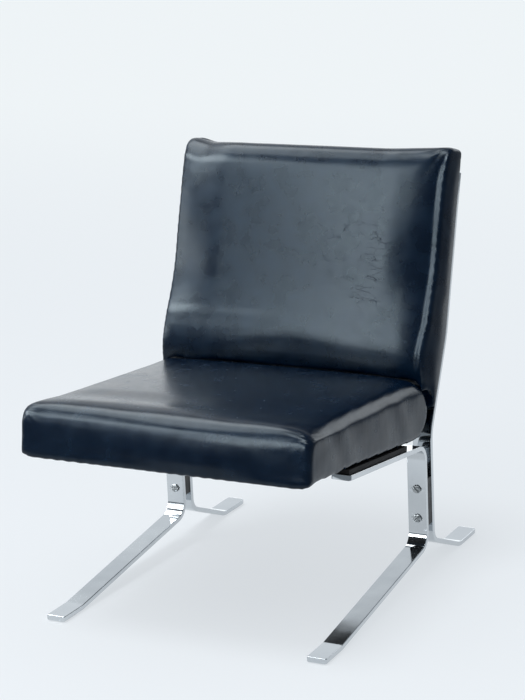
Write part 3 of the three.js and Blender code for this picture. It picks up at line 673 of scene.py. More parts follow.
sides = {"right": 1, "left": -1}
for side, sign in sides.items():
    x = sign * bar_middle
    mount = sign * mount_line
    post_holes = []
    for height in post_screw_heights.values():
        middle = in_room(x, post_point(height, -bar_spacing / 2))
        post_holes.append((middle, direction(post_front), post_hole_radius, post_drill_length))
    seat_holes = []
    for along in seat_screw_setbacks.values():
        middle = seat_place(mount, along, -bar_thickness / 2)
        seat_holes.append((middle, direction(arm_up), mount_hole_radius, mount_drill_length))
    bent_bar(
        f"front_frame_bar_{side}", front_corners, front_bends, x, end_round,
        post_holes + seat_holes, f"front_bar_{side}",
    )
    bent_bar(
        f"rear_frame_bar_{side}", rear_corners, rear_bends, x, rear_foot_round,
        post_holes + back_holes(mount, -bar_thickness / 2), f"rear_bar_{side}",
    )


# Screws
# Slotted domed screws join the bars at the post, and smaller ones of zinced steel hold the seat
# and the back. The large ones are chromed, in a darker copy of the bars' chrome that is painted
# shade, so that their heads reflect less light. Each slot stopped at its own angle.

slot_turns = {
    "right": {"upper": 0.8, "lower": -0.75},
    "left": {"upper": 0.35, "lower": -1.4},
}
rim_share = 0.35
rim_overlap = 1.02
shank_overlap = 0.0002
head_segments = 32
shank_segments = 24
cutter_size = 0.1


def raised(given, geometry, height, scale=(1, 1, 1)):
    moved = {"Geometry": geometry, "Translation": given.vector(z=height), "Scale": scale}
    return given.add("GeometryNodeTransform", moved)


def screw_tree(sizes):
    """Puts a slotted domed screw on each point, along its axis and turned by its angle."""
    given = new_tree("slotted_screw", sizes, {})
    radius = given.out("Head radius")
    height = given.out("Head height")
    rim = height * rim_share
    ball = {"Segments": head_segments, "Rings": head_segments // 2, "Radius": 1.0}
    ball = given.add("GeometryNodeMeshUVSphere", ball)
    dome = raised(given, ball, rim, given.vector(x=radius, y=radius, z=height - rim))
    below = given.add("GeometryNodeMeshCube", {"Size": (cutter_size, cutter_size, cutter_size)})
    dome = boolean(given, "DIFFERENCE", dome, [raised(given, below, rim - cutter_size / 2)])
    disc = {"Vertices": head_segments, "Radius": radius, "Depth": rim * rim_overlap}
    foot = raised(given, given.add("GeometryNodeMeshCylinder", disc), rim * (rim_overlap / 2))
    length = given.out("Shank length")
    rod = {"Vertices": shank_segments, "Radius": given.out("Shank radius"), "Depth": length}
    rod = given.add("GeometryNodeMeshCylinder", rod)
    shank = raised(given, rod, length * -0.5 + shank_overlap)
    screw = boolean(given, "UNION", None, [dome, foot, shank])
    cut = given.vector(x=given.out("Slot width"), y=radius * 3, z=given.out("Slot depth") * 2)
    slot = raised(given, given.add("GeometryNodeMeshCube", {"Size": cut}), height)
    screw = boolean(given, "DIFFERENCE", screw, [slot])
    facing = {0: named(given, "axis", "FLOAT_VECTOR"), 1: named(given, "slot", "FLOAT_VECTOR")}
    turned = given.add("FunctionNodeAxesToRotation", facing, primary_axis="Z", secondary_axis="Y")
    spots = given.add("GeometryNodeMeshToPoints", {"Mesh": given})
    copied = {"Points": spots, "Instance": screw, "Rotation": turned}
    return end_tree(given, given.add("GeometryNodeInstanceOnPoints", copied))


def screws(name, spots, sizes, finish, replaced):
    """One piece that holds like screws. A spot is a place, an axis and the slot's direction."""
    mesh = bpy.data.meshes.new(name)
    mesh.from_pydata([tuple(spot[0]) for spot in spots], [], [])
    for number, key in ((1, "axis"), (2, "slot")):
        values = [c for spot in spots for c in spot[number]]
        mesh.attributes.new(key, "FLOAT_VECTOR", "POINT").data.foreach_set("vector", values)
    piece = in_scene(name, mesh)
    run_tree(piece, slotted_screw, {**sizes, "Finish": finish})
    finish_solid(piece)
    dress(piece, replaced)


def slot_direction(axis, start, turn):
    """The line of a slot, turned about the screw's axis from a starting line."""
    return Matrix.Rotation(turn, 3, axis) @ Vector(start)


post_spots = []
post_screw_nodes = []
facing = direction(post_front)
for side, sign in sides.items():
    for where, height in post_screw_heights.items():
        point = post_point(height, bar_thickness / 2 + contact_gap)
        slot_line = slot_direction(facing, (0, 0, 1), slot_turns[side][where])
        post_spots.append((in_room(sign * bar_middle, point), facing, slot_line))
        post_screw_nodes.append(f"post_screw_{where}_{side}")
post_sizes = {
    "Head radius": 0.0088,
    "Head height": 0.0036,
    "Slot width": 0.0018,
    "Slot depth": 0.0019,
    "Shank radius": post_shank_radius,
    "Shank length": bar_spacing + bar_thickness,
}
slotted_screw = screw_tree(post_sizes)

# A darker, duller copy of the chrome for the post screws: painted shade on their heads.
shaded_chrome_finish, place = new_finish("worn_chrome")
smudge = place.noise(160.0, 3.0)
surface(place, {
    "Base Color": smudge.step(0.3, 0.7).tint((0.26, 0.28, 0.29, 1), (0.40, 0.42, 0.43, 1)),
    "Metallic": 1.0,
    "Roughness": smudge.step(0.3, 0.7, 0.24, 0.36),
})
screws("post_screws", post_spots, post_sizes, shaded_chrome_finish, post_screw_nodes)

zinc_finish, place = new_finish("bright_zinc")
crystal = place.add("ShaderNodeTexVoronoi", {"Vector": place, "Scale": 900.0})
brushed = place.noise(400.0, 3.0)
surface(place, {
    "Base Color": brushed.step(0.3, 0.7).tint((0.42, 0.44, 0.45, 1), (0.60, 0.62, 0.63, 1)),
    "Metallic": 1.0,
    "Roughness": brushed.step(0.2, 0.8, 0.28, 0.45),
    "Normal": bump(place, crystal, 0.00005),
})

mount_spots = []
mount_nodes = []
seat_slot_turns = {"front": 0.7, "rear": 2.6}
back_slot_turns = {"lower": 0.4, "upper": 1.7}
downwards = -direction(arm_up)
for side, sign in sides.items():
    for where, along in seat_screw_setbacks.items():
        spot = seat_place(sign * mount_line, along, -bar_thickness - contact_gap)
        slot_line = slot_direction(downwards, direction(arm_line), seat_slot_turns[where] + sign)
        mount_spots.append((spot, downwards, slot_line))
        mount_nodes.append(f"seat_screw_{where}_{side}")
    for where, up in back_screw_heights.items():
        hx, hz = back_heading(up)
        spot = back_place(sign * mount_line, up, -bar_thickness - contact_gap)
        rearwards = Vector((0, hz, -hx))
        slot_line = slot_direction(rearwards, (0, hx, hz), back_slot_turns[where] + sign)
        mount_spots.append((spot, rearwards, slot_line))
        mount_nodes.append(f"back_screw_{where}_{side}")
mount_sizes = {
    "Head radius": 0.0065,
    "Head height": 0.0032,
    "Slot width": 0.0014,
    "Slot depth": 0.0016,
    "Shank radius": mount_shank_radius,
    "Shank length": 0.033,
}
screws("mount_screws", mount_spots, mount_sizes, zinc_finish, mount_nodes)


def finish_nodes(words, finish):
    """Gives a finish to the CAD nodes that have one of the words in their names."""
    for name, node in nodes.items():
        if any(word in name for word in words):
            node.data.materials.clear()
            node.data.materials.append(finish)


finish_nodes(["tee_nut"], zinc_finish)


# Spacer blocks and glides
# A block of black lacquered metal keeps the two bars of each post apart. Hard black pads under
# the feet keep the chrome off the floor; their black is partly painted shadow, for the dark line
# beneath each foot.

block_finish, place = new_finish("satin_black_block")
pebble = place.noise(1400.0, 2.0)
dust = place.noise(45.0, 5.0)
surface(place, {
    "Base Color": dust.step(0.35, 0.75).tint((0.010, 0.011, 0.013, 1), (0.022, 0.023, 0.026, 1)),
    "Roughness": dust.step(0.3, 0.8, 0.42, 0.60),
    "Normal": bump(place, pebble, 0.00012),
})
finish_nodes(["post_spacer"], block_finish)

# The glides are near-black partly as painted shadow: the dark gap under each foot's front edge.
glide_shadow_finish, place = new_finish("worn_glide")
scuff = place.noise(220.0, 6.0, roughness=0.7)
surface(place, {
    "Base Color": scuff.step(0.4, 0.7).tint((0.014, 0.014, 0.015, 1), (0.055, 0.054, 0.052, 1)),
    "Roughness": scuff.step(0.3, 0.7, 0.55, 0.85),
    "Normal": bump(place, scuff, 0.0002),
})
finish_nodes(["foot_glide"], glide_shadow_finish)


# Seat frame
# Beech rails, glued and screwed at the corners, with rubberised straps tacked across them.
# Their undersides, which can be seen beside the dust cover, are coloured near-black as painted shade.
# Two lacquered battens carry the frame on the chromed arms.

wood_finish, place = new_finish("bare_beech")
grain = place.mapped((1.0, 0.14, 1.0))
rings = grain.noise(70.0, 5.0)
fleck = grain.noise(620.0, 2.0)
wood_tone = rings.step(0.35, 0.65) * 0.75 + fleck.step(0.55, 0.7) * 0.25
facing = place.add("ShaderNodeNewGeometry").out("Normal")
# Faces that point down take near-black in place of the wood colour: painted shade under the seat.
shaded_underside = facing.split().out("Z").fall(-0.95, -0.85)
wood_colour = wood_tone.tint((0.46, 0.31, 0.18, 1), (0.33, 0.20, 0.105, 1))
surface(place, {
    "Base Color": shaded_underside.tint(wood_colour, (0.010, 0.010, 0.011, 1)),
    "Roughness": rings.step(0.3, 0.7, 0.58, 0.75),
    "Normal": bump(place, wood_tone, 0.0003),
})
finish_nodes(["seat_rail", "back_board"], wood_finish)

batten_finish, place = new_finish("black_lacquer")
brushmarks = place.mapped((1.0, 0.06, 1.0)).noise(420.0, 3.0)
surface(place, {
    "Base Color": brushmarks.step(0.3, 0.7).tint((0.003, 0.003, 0.004, 1), (0.007, 0.007, 0.008, 1)),
    "Roughness": brushmarks.step(0.3, 0.7, 0.50, 0.62),
    "Specular IOR Level": 0.2,
    "Normal": bump(place, brushmarks, 0.0001),
})
finish_nodes(["seat_batten"], batten_finish)


def threads(place, across, scale, distortion=0.0):
    """The rise and fall of threads that lie side by side along one axis."""
    values = {"Vector": place, "Scale": scale, "Distortion": distortion}
    return place.add("ShaderNodeTexWave", values, bands_direction=across).out("Fac")


webbing_finish, place = new_finish("rubberised_webbing")
weave = threads(place, "Y", 160.0) * 0.6 + threads(place, "X", 90.0) * 0.4
surface(place, {
    "Base Color": weave.tint((0.022, 0.018, 0.013, 1), (0.075, 0.060, 0.043, 1)),
    "Roughness": weave.step(0.0, 1.0, 0.9, 0.7),
    "Normal": bump(place, weave, 0.0004),
})
finish_nodes(["seat_webbing"], webbing_finish)


# Seat cushion
# Foam on rubber webbing over a wooden frame, covered with black leather. The cover is a long strip
# over front, top and rear, sewn to two side panels, pulled down and stapled under the frame.

batten_height = 0.0096
seat_base = batten_height + 2 * contact_gap
seat_half = 0.296
seat_front = -0.182
seat_rear = 0.395
seat_front_thickness = 0.098
seat_rear_thickness = 0.122
seat_top_round = 0.030
seat_front_top_radius = 0.032
seat_bottom_radius = 0.007
seat_corner_round = 0.009
seat_crown = 0.009
seat_front_bulge = 0.006
seat_front_sag = 0.011
seat_sag_reach = 0.034
seat_front_flare = 0.004
seat_pinch_share = 0.55
seat_draw_in = 0.004
voxel = 0.006
swell_room = 0.002
loop_stride = 0.012
side_rows = 9
flat_rows = 33
blur_rounds = 3
broad_rounds = 12
cover_settings = {
    "quality": 5,
    "mass": 0.35,
    "tension_stiffness": 40,
    "compression_stiffness": 40,
    "shear_stiffness": 20,
    "bending_stiffness": 6,
    "shrink_min": -0.004,
    "use_pressure": True,
    "uniform_pressure_force": 4,
    "vertex_group_mass": "held",
}
swell_frames = 20
swell_reach = 0.008
seat_swell_share = 0.15
seat_fold_share = 0.15
seat_fold_height = 0.05
seat_fold_fade = 0.1
seat_held_height = 0.003
# Heights, depths and reaches of the seat's wear
roll_height = 0.0012
roll_setback = 0.050
roll_waver = 0.0004
valley_depth = 0.0014
valley_setback = 0.110
valley_reach = 0.060
right_wear = 0.0070
right_wear_reach = 0.070
staple_pull = 0.0007
staple_pitch = 0.024
face_waver = 0.0015
side_slack = 0.0006
corner_out = 0.006
corner_out_reach = 0.060
corner_out_length = 0.160
gather_on_top = 0.0007
gather_on_face = 0.0004
gather_reach = 0.028
gather_start = 0.012
# The leather's tones, and the depths of its pores and of the flats that are rubbed smooth
leather_dark = (0.0004, 0.0036, 0.0115, 1)
leather_light = (0.0010, 0.0066, 0.0180, 1)
pore_depth = 0.00003
seat_rubbed_depth = 0.0004
seat_slack_depth = 0.0004


def round_fall(radius, distance):
    """How far a quarter-round edge has fallen at a distance in from the end."""
    left = np.maximum(0, radius - distance)
    return radius - np.sqrt(np.maximum(0, radius ** 2 - left ** 2))


def smooth(share):
    share = np.clip(share, 0, 1)
    return share * share * (3 - 2 * share)


def hump(value, middle, reach):
    """One at the middle, falling smoothly to nothing at the reach on both sides."""
    return smooth(1 - np.abs(value - middle) / reach)


def quarter_arc(centre_u, centre_v, radius, start, steps):
    angle = start + math.pi / 2 * np.arange(steps + 1) / steps
    return np.stack([centre_u + radius * np.cos(angle), centre_v + radius * np.sin(angle)], axis=-1)


def fill_straights(loop, stride):
    """Adds points on the long stretches of a closed loop."""
    filled = []
    for start, end in zip(loop, np.roll(loop, -1, axis=0)):
        steps = max(1, math.ceil(float(np.linalg.norm(end - start)) / stride))
        filled += [start + (end - start) * k / steps for k in range(steps)]
    return np.array(filled)


def loft(name, half_width, side_round, loop, form, material):
    """A closed cushion form: the loop repeated across the chair, each loop placed by the form."""
    turned = side_round * (1 - np.cos(np.linspace(0, math.pi / 2, side_rows)[:-1]))
    distances = np.concatenate([turned, np.linspace(side_round, half_width, flat_rows)])
    distances = np.concatenate([distances, distances[-2::-1]])
    signs = np.where(np.arange(len(distances)) < len(distances) // 2, -1, 1)
    rows = [form(s * (half_width - d), d, loop) for s, d in zip(signs, distances)]
    vertices = np.concatenate(rows)
    count = len(loop)
    faces = []
    for i in range(len(rows) - 1):
        for j in range(count):
            a = i * count + j
            b = i * count + (j + 1) % count
            faces.append((a, b, b + count, a + count))
    faces.append(tuple(range(count))[::-1])
    faces.append(tuple(range((len(rows) - 1) * count, len(rows) * count)))
    piece = mesh_piece(name, vertices, faces, material)
    turn_outward(piece)
    return piece


def seat_form(name, inset, material):
    """The seat's form, drawn in on every side by the inset."""
    base = seat_base + inset
    front = seat_front + inset
    rear = seat_rear - inset
    front_thickness = seat_front_thickness - 2 * inset
    rear_radius = seat_rear_thickness / 2 - inset
    top_radius = seat_front_top_radius - inset
    bottom_radius = max(0.002, seat_bottom_radius - inset)
    quarter = math.pi / 2
    loop = np.concatenate([
        quarter_arc(rear - rear_radius, base + rear_radius, rear_radius, -quarter, 16),
        quarter_arc(rear - rear_radius, base + rear_radius, rear_radius, 0, 16)[1:],
        quarter_arc(front + top_radius, base + front_thickness - top_radius, top_radius, quarter, 10),
        quarter_arc(front + bottom_radius, base + bottom_radius, bottom_radius, 2 * quarter, 4),
        [[front + seat_sag_reach, base]],
    ])
    loop = fill_straights(loop, loop_stride)
    half = seat_half - inset
    side_round = seat_top_round - inset

    def form(x, distance, place):
        share = np.clip((place[:, 0] - front) / (rear - front), 0, 1)
        thickness = front_thickness + (2 * rear_radius - front_thickness) * share
        height = np.clip((place[:, 1] - base) / thickness, 0, 1)
        across_share = 1 - (x / half) ** 2
        crown = seat_crown * across_share * height * (1 - (2 * share - 1) ** 4)
        at_front = 1 - smooth(share / 0.2)
        at_rear = smooth((share - 0.8) / 0.2)
        top_fall = round_fall(side_round, distance) * height * (1 - seat_pinch_share * at_front)
        front_fall = round_fall(seat_corner_round, distance) * at_front
        rear_fall = round_fall(seat_corner_round, distance) * at_rear
        bulge = seat_front_bulge * at_front * across_share * np.sin(math.pi * height)
        drawn = seat_draw_in * np.sin(math.pi * share) - seat_front_flare * (1 - share)
        near_front = 1 - smooth((place[:, 0] - front) / seat_sag_reach)
        sag = seat_front_sag * near_front * (1 - height) * (0.6 + 0.4 * smooth(distance / seat_top_round))
        places = seat_place(
            0.0,
            place[:, 0] + front_fall - rear_fall - bulge,
            place[:, 1] - top_fall - sag + crown,
        )
        places[:, 0] = x * (1 - drawn / half)
        return places

    return loft(name, half, side_round, loop, form, material)


def remesh(piece, size):
    """Turns a form into one closed skin of even squares."""
    modifier = piece.modifiers.new("remesh", "REMESH")
    modifier.mode = "VOXEL"
    modifier.voxel_size = size
    modifier.use_smooth_shade = True
    keep_modifiers(piece)


def vertex_places(piece):
    places = np.empty(len(piece.data.vertices) * 3)
    piece.data.vertices.foreach_get("co", places)
    return places.reshape(-1, 3)


def move_vertices(piece, places):
    piece.data.vertices.foreach_set("co", np.ascontiguousarray(places).ravel())
    piece.data.update()


def swell(piece, held, fullness, folds):
    """Lets the cover swell over its filling as cloth under pressure. Held points stay. Of the
    broad swelling one share is kept, and of the fine folds another."""
    before = vertex_places(piece)
    group = piece.vertex_groups.new(name="held")
    group.add([int(i) for i in np.nonzero(held)[0]], 1.0, "REPLACE")
    cloth = piece.modifiers.new("cover", "CLOTH")
    for key, value in cover_settings.items():
        setattr(cloth.settings, key, value)
    cloth.settings.effector_weights.gravity = 0
    cloth.collision_settings.use_collision = False
    cloth.point_cache.frame_start = 1
    cloth.point_cache.frame_end = swell_frames
    for number in range(1, swell_frames + 1):
        bpy.context.scene.frame_set(number)
    keep_modifiers(piece)
    bpy.context.scene.frame_set(1)
    piece.vertex_groups.clear()
    moved = vertex_places(piece) - before
    length = np.linalg.norm(moved, axis=1, keepdims=True)
    moved *= np.minimum(1, swell_reach / np.maximum(length, 1e-9))
    broad = blurred(piece, moved, broad_rounds)
    move_vertices(piece, before + broad * fullness + (moved - broad) * folds[:, None])


def blurred(piece, field, rounds=blur_rounds):
    """A value at each point, averaged with its neighbours again and again."""
    edges = np.empty(len(piece.data.edges) * 2, dtype=np.int64)
    piece.data.edges.foreach_get("vertices", edges)
    start, end = edges[0::2], edges[1::2]
    count = np.bincount(edges, minlength=len(field))[:, None]
    for _ in range(rounds):
        total = np.zeros_like(field)
        np.add.at(total, start, field[end])
        np.add.at(total, end, field[start])
        field = 0.5 * field + 0.5 * total / count
    return field


def subdivide(piece):
    modifier = piece.modifiers.new("smooth", "SUBSURF")
    modifier.levels = modifier.render_levels = 1
    keep_modifiers(piece)


def seat_local(places):
    """Distances along the arms and heights above them, for room places."""
    y = places[:, 1] - foot_tip - arm_top_front.x
    z = places[:, 2] - arm_top_front.y
    return y * arm_line.x + z * arm_line.y, y * arm_up.x + z * arm_up.y


def polished_hide(place, roughness, coat, relief):
    """Ends a finish as dyed and polished hide: blue-black, with a thin uneven coat of wax."""
    mottle = place.noise(24.0, 5.0)
    values = {
        "Base Color": mottle.step(0.3, 0.75).tint(leather_dark, leather_light),
        "Roughness": mottle.step(0.25, 0.8, *roughness),
        "Specular IOR Level": 0.22,
        "Specular Tint": (0.76, 0.93, 1.0, 1),
        "Coat Weight": mottle.step(0.3, 0.7, *coat),
        "Coat Roughness": 0.22,
        "Coat Tint": (0.80, 0.93, 1.0, 1),
        "Normal": bump(place, relief, 1.0),
    }
    surface(place, values)


def voronoi_edges(place, scale):
    """How far each spot lies from the edge of its cell."""
    values = {"Vector": place, "Scale": scale}
    return place.add("ShaderNodeTexVoronoi", values, feature="DISTANCE_TO_EDGE")


def pores(place, scale):
    """The depth of a hide's pores, weaker in places."""
    return voronoi_edges(place, scale).step(0.0, 0.22) * place.noise(60.0, 3.0).step(0.35, 0.65, 0.35, 1.0)


seat_leather, place = new_finish("seat_leather")
rubbed = place.noise(6.0, 3.0)
across = place.split()
on_side = across.math("ABSOLUTE", across).step(0.278, 0.290)
slanted = place.mapped((1.0, 1.0, 0.2), (-0.75, 0.0, 0.0))
slack = slanted.noise(60.0, 2.5, distortion=0.4) * on_side
relief = pores(place, 640.0) * pore_depth + slack * seat_slack_depth + rubbed * seat_rubbed_depth
polished_hide(place, (0.21, 0.29), (0.05, 0.16), relief)

seat = seat_form("seat_cushion", swell_room, seat_leather)
remesh(seat, voxel)
along, up = seat_local(vertex_places(seat))
folds = 1 - smooth((up - seat_base) / seat_fold_height)
folds *= 1 - np.clip((along - seat_front) / seat_fold_fade, 0, 1)
held = up < seat_base + swell_room + seat_held_height
swell(seat, held, seat_swell_share, seat_fold_share * folds)
subdivide(seat)

places = blurred(seat, vertex_places(seat))
along, up = seat_local(places)
x = places[:, 0]
from_front = along - seat_front
from_side = seat_half - np.abs(x)
thickness = seat_front_thickness + (seat_rear_thickness - seat_front_thickness) * np.clip(
    from_front / (seat_rear - seat_front), 0, 1)
height = np.clip((up - seat_base) / thickness, 0, 1)
on_top = smooth((height - 0.72) / 0.2)
inner = smooth(from_side / 0.06)

# A rolled and slightly wavy front edge with a shallow valley behind it
roll = roll_height + roll_waver * np.sin(x * 31 + 1.3)
lift = roll * hump(from_front, roll_setback, roll_setback) * on_top * inner
lift -= valley_depth * hump(from_front, valley_setback, valley_reach) * on_top * inner
# The right edge is worn rounder than the left one
lift -= right_wear * (x > 0) * np.clip(1 - from_side / right_wear_reach, 0, 1) ** 2 * on_top
# The lower front edge is pulled in at each staple
staples_line = np.sin(x * 2 * math.pi / staple_pitch + 0.9 * np.sin(x * 17))
low_edge = hump(up - seat_base, -0.004, 0.020) * hump(from_front, 0.0, 0.03) * smooth(from_side / 0.02)
lift += staple_pull * staples_line * (0.6 + 0.4 * np.sin(x * 23)) * low_edge
# The front face is a little wavy
face = (1 - smooth(from_front / 0.03)) * smooth(height / 0.2) * (1 - smooth((height - 0.8) / 0.2))
push = face_waver * np.sin(x * 14 + 0.6) * face
# The side panels are slack in places
side_zone = (1 - smooth(from_side / 0.020)) * smooth(height / 0.15) * (1 - smooth((height - 0.7) / 0.3))
slant = along + (up - seat_base) * 0.7
out = side_slack * np.sin(slant * 47 + 1.2 * np.sin(slant * 21)) * side_zone * np.sign(x)
# The front left corner stands out
at_corner = (1 - smooth(from_side / corner_out_reach)) * (1 - smooth(from_front / corner_out_length))
out -= corner_out * (x < 0) * at_corner
# Gathers fan out from the sewn front corners
for corner_sign in (1, -1):
    away = np.stack([x - corner_sign * (seat_half - 0.004), (up - seat_base - 0.085), from_front - 0.004], -1)
    distance = np.linalg.norm(away, axis=1)
    angle = np.arctan2(away[:, 1], -corner_sign * away[:, 0])
    fan = np.sin(angle * 15 + 0.8 * corner_sign) * np.exp(-distance / gather_reach)
    fan *= smooth(distance / gather_start)
    lift += gather_on_top * fan * on_top
    push += gather_on_face * fan * face

shift = seat_place(0.0, along - push, up + lift) - seat_place(0.0, along, up)
shift[:, 0] += out
move_vertices(seat, places + shift)
dress(seat, ["seat_cover", "seat_foam"])


# Dust cover
# Thin black cloth stretched under the seat, folded in at its edges and stapled to the rails.

dust_half = 0.252
dust_front = -0.138
dust_rear = 0.289
dust_top = seat_base - contact_gap
dust_thickness = 0.0008
dust_rows = 88
dust_columns = 104
dust_hang = 0.0016
dust_pucker = 0.0003
pucker_reach = 0.10
staple_inset = 0.006
staple_sink = 0.0004

cloth_finish, place = new_finish("black_lining")
thread = threads(place, "X", 260.0, 0.4) * threads(place, "Y", 260.0, 0.4)
lint = place.noise(60.0, 6.0)
cloth_tone = thread * 0.7 + lint.step(0.3, 0.8) * 0.3
surface(place, {
    "Base Color": cloth_tone.tint((0.006, 0.006, 0.007, 1), (0.026, 0.026, 0.028, 1)),
    "Roughness": lint.step(0.3, 0.7, 0.88, 0.97),
    "Sheen Weight": 0.15,
    "Normal": bump(place, thread, 0.00025),
})

grid_x, grid_y = np.meshgrid(np.linspace(-1, 1, dust_columns), np.linspace(-1, 1, dust_rows))
pucker = np.sin(grid_x * 46) * np.exp(-(1 - np.abs(grid_y)) / pucker_reach)
pucker += np.sin(grid_y * 39) * np.exp(-(1 - np.abs(grid_x)) / pucker_reach)
tension = (1 - np.abs(grid_x) ** 3) * (1 - np.abs(grid_y) ** 3)
hang = (dust_hang + dust_pucker * pucker) * tension
middle = (dust_front + dust_rear) / 2
half_length = (dust_rear - dust_front) / 2
levels = []
for drop in (0.0, dust_thickness):
    layer = seat_place(0.0, middle + grid_y.ravel() * half_length, dust_top - hang.ravel() - drop)
    layer[:, 0] = grid_x.ravel() * dust_half
    levels.append(layer)
vertices = np.concatenate(levels)
count = dust_rows * dust_columns
faces = []
for i in range(dust_rows - 1):
    for j in range(dust_columns - 1):
        a = i * dust_columns + j
        quad = (a, a + 1, a + 1 + dust_columns, a + dust_columns)
        faces.append(quad)
        faces.append(tuple(v + count for v in reversed(quad)))
rim = list(range(dust_columns))
rim += [i * dust_columns + dust_columns - 1 for i in range(1, dust_rows)]
rim += [(dust_rows - 1) * dust_columns + j for j in range(dust_columns - 2, -1, -1)]
rim += [i * dust_columns for i in range(dust_rows - 2, 0, -1)]
for start_point, end_point in zip(rim, rim[1:] + rim[:1]):
    faces.append((end_point, start_point, start_point + count, end_point + count))
dust_cover = mesh_piece("dust_cover", vertices, faces, cloth_finish)
turn_outward(dust_cover)
dust_cover.data.set_sharp_from_angle(angle=math.radians(50))
dress(dust_cover, ["seat_dust_cover"])


def staple_tree():
    """Sets staples at an even pitch along a line, each turned along it, a little out of true."""
    numbers = {"Pitch": 0.034, "Crown": 0.010, "Wire": 0.0009, "Swing": 0.12}
    given = new_tree("staple_row", numbers, {"Facing": "Vector"})
    line = given.add("GeometryNodeMeshToCurve", {"Mesh": given})
    pitch = {"Curve": line, "Length": given.out("Pitch")}
    spots = given.add("GeometryNodeResampleCurve", pitch, mode="LENGTH")
    facing = {0: given.out("Facing"), 1: given.add("GeometryNodeInputTangent")}
    turned = given.add("FunctionNodeAxesToRotation", facing, primary_axis="Z", secondary_axis="X")
    wire = given.out("Wire")
    block = given.vector(x=given.out("Crown"), y=wire, z=wire * 0.7)
    crown = given.add("GeometryNodeMeshCube", {"Size": block, "Vertices X": 5})
    from_middle = given.add("GeometryNodeInputPosition").split() / given.out("Crown") * 2
    droop = given.vector(z=from_middle * from_middle * wire * -0.4)
    crown = given.add("GeometryNodeSetPosition", {"Geometry": crown, "Offset": droop})
    chance = {"Min": -1.0, "Max": 1.0, "Seed": 7}
    chance = given.add("FunctionNodeRandomValue", chance, data_type="FLOAT").out(1)
    swing = given.add("FunctionNodeEulerToRotation", {0: given.vector(z=chance * given.out("Swing"))})
    swung = {0: turned, 1: swing}
    turned = given.add("FunctionNodeRotateRotation", swung, rotation_space="LOCAL")
    copied = {"Points": spots, "Instance": crown, "Rotation": turned}
    return end_tree(given, given.add("GeometryNodeInstanceOnPoints", copied))


corner_x = dust_half - staple_inset
corner_front = dust_front + staple_inset
corner_rear = dust_rear - staple_inset
corners = [
    (-corner_x, corner_front), (corner_x, corner_front), (corner_x, corner_rear), (-corner_x, corner_rear)]
points = []
for x, along in corners:
    point = Vector(seat_place(x, along, dust_top - dust_thickness))
    points.append(point + downwards * staple_sink)
mesh = bpy.data.meshes.new("dust_cover_staples")
mesh.from_pydata(points, [(0, 1), (1, 2), (2, 3), (3, 0)], [])
row = in_scene("dust_cover_staples", mesh)
run_tree(row, staple_tree(), {"Facing": downwards, "Finish": zinc_finish})
finish_solid(row)
dress(row, [])


# Back cushion
# Foam on a bent plywood board, covered with black leather that is pulled round to the rear.
# Its lower end lies against the rear of the seat.

back_half = 0.298
back_low = 0.044
back_high = 0.572
panel_thickness = 0.004
back_rear = panel_thickness + 2 * contact_gap
back_low_thickness = 0.098
back_high_thickness = 0.082
back_front_radius = 0.018
back_rear_radius = 0.006
back_side_round = 0.005
back_end_round = 0.010
back_crown = 0.012
back_to_seat = 0.0008
near_seat = 0.03
search_reach = 0.08
back_swell_share = 0.25
back_fold_share = 0.12
held_depth = 0.004
held_low = 0.06
# In front of the bars, the depth from which the face is evened out, and over which that grows
even_from = 0.012
even_over = 0.020
# Heights, depths and reaches of the back's shape. Curves give a value at heights up the back.
right_pull = {0.071: -0.010, 0.130: 0.0, 0.235: -0.001, 0.335: -0.010, 0.466: -0.005, 0.566: -0.007}
left_pull = {0.175: 0.0, 0.300: -0.011, 0.440: -0.004, 0.520: -0.005, 0.575: -0.013}
pull_reach = 0.115
bend_reach = 0.085
bend_reach_left = 0.045
top_roll = 0.017
top_roll_reach = 0.052
side_roll_left = 0.005
side_roll_right = 0.001
side_roll_reach = 0.120
corner_side = 0.005
corner_above = 0.012
corner_drop = 0.020
corner_reach = 0.135
corner_tip_reach = 0.06
channel_setback = 0.0185
channel_narrowing = 0.0090
channel_narrow_from = 0.50
channel_narrow_over = 0.06
ridge_height = 0.0043
ridge_low = 0.06
ridge_low_fade = 0.06
ridge_high = 0.545
ridge_high_fade = 0.025
panel_fall_reach = 0.050
turn_under_start = 0.161
turn_under_middle = 0.014
turn_under_reach = 0.075
turn_under_bend = 4.2
face_unevenness = 0.0012
side_out = 0.006
side_belly = 0.006
side_lean = {0.11: 0.0115, 0.23: 0.0035}
side_out_reach = 0.080
left_bulge = 0.0035
left_bulge_reach = 0.10
left_belly = 0.0015
corner_bulge = 0.008
corner_tip_bulge = 0.005
right_peak = 0.0070
right_peak_reach = 0.150
left_peak = 0.0105
left_peak_reach = 0.060
peak_from = 0.47
peak_over = 0.09
fold_depth = 0.0026
fold_reach = 0.022
fold_start = 0.012
back_rubbed_depth = 0.0006
crack_depth = 0.0003
# Where the leather is worn and cracked, across the back and by height above the floor
worn_left = (-0.12, 0.04)
worn_right = (0.17, 0.24)
worn_low = (0.44, 0.56)
worn_high = (0.68, 0.78)


def back_loop(low, high, rear, fronts, radii, arc_steps, bend_steps):
    """A side-view outline of a part of the back, with rounded corners and its lumbar bend. The
    fronts are at its low and high ends, and the radii at its rear and front corners."""
    low_front, high_front = fronts
    rear_round, front_round = radii
    quarter = math.pi / 2
    stops = lumbar_start + lumbar_arc * np.linspace(0, 1, bend_steps)
    front_at = low_front + (high_front - low_front) * (stops - low) / (high - low)
    return fill_straights(np.concatenate([
        quarter_arc(high - rear_round, rear + rear_round, rear_round, -quarter, arc_steps[0]),
        quarter_arc(high - front_round, high_front - front_round, front_round, 0, arc_steps[1]),
        np.stack([stops, front_at], axis=-1)[::-1],
        quarter_arc(low + front_round, low_front - front_round, front_round, quarter, arc_steps[2]),
        quarter_arc(low + rear_round, rear + rear_round, rear_round, 2 * quarter, arc_steps[3]),
        np.stack([stops, np.full(len(stops), rear)], axis=-1),
    ]), loop_stride)


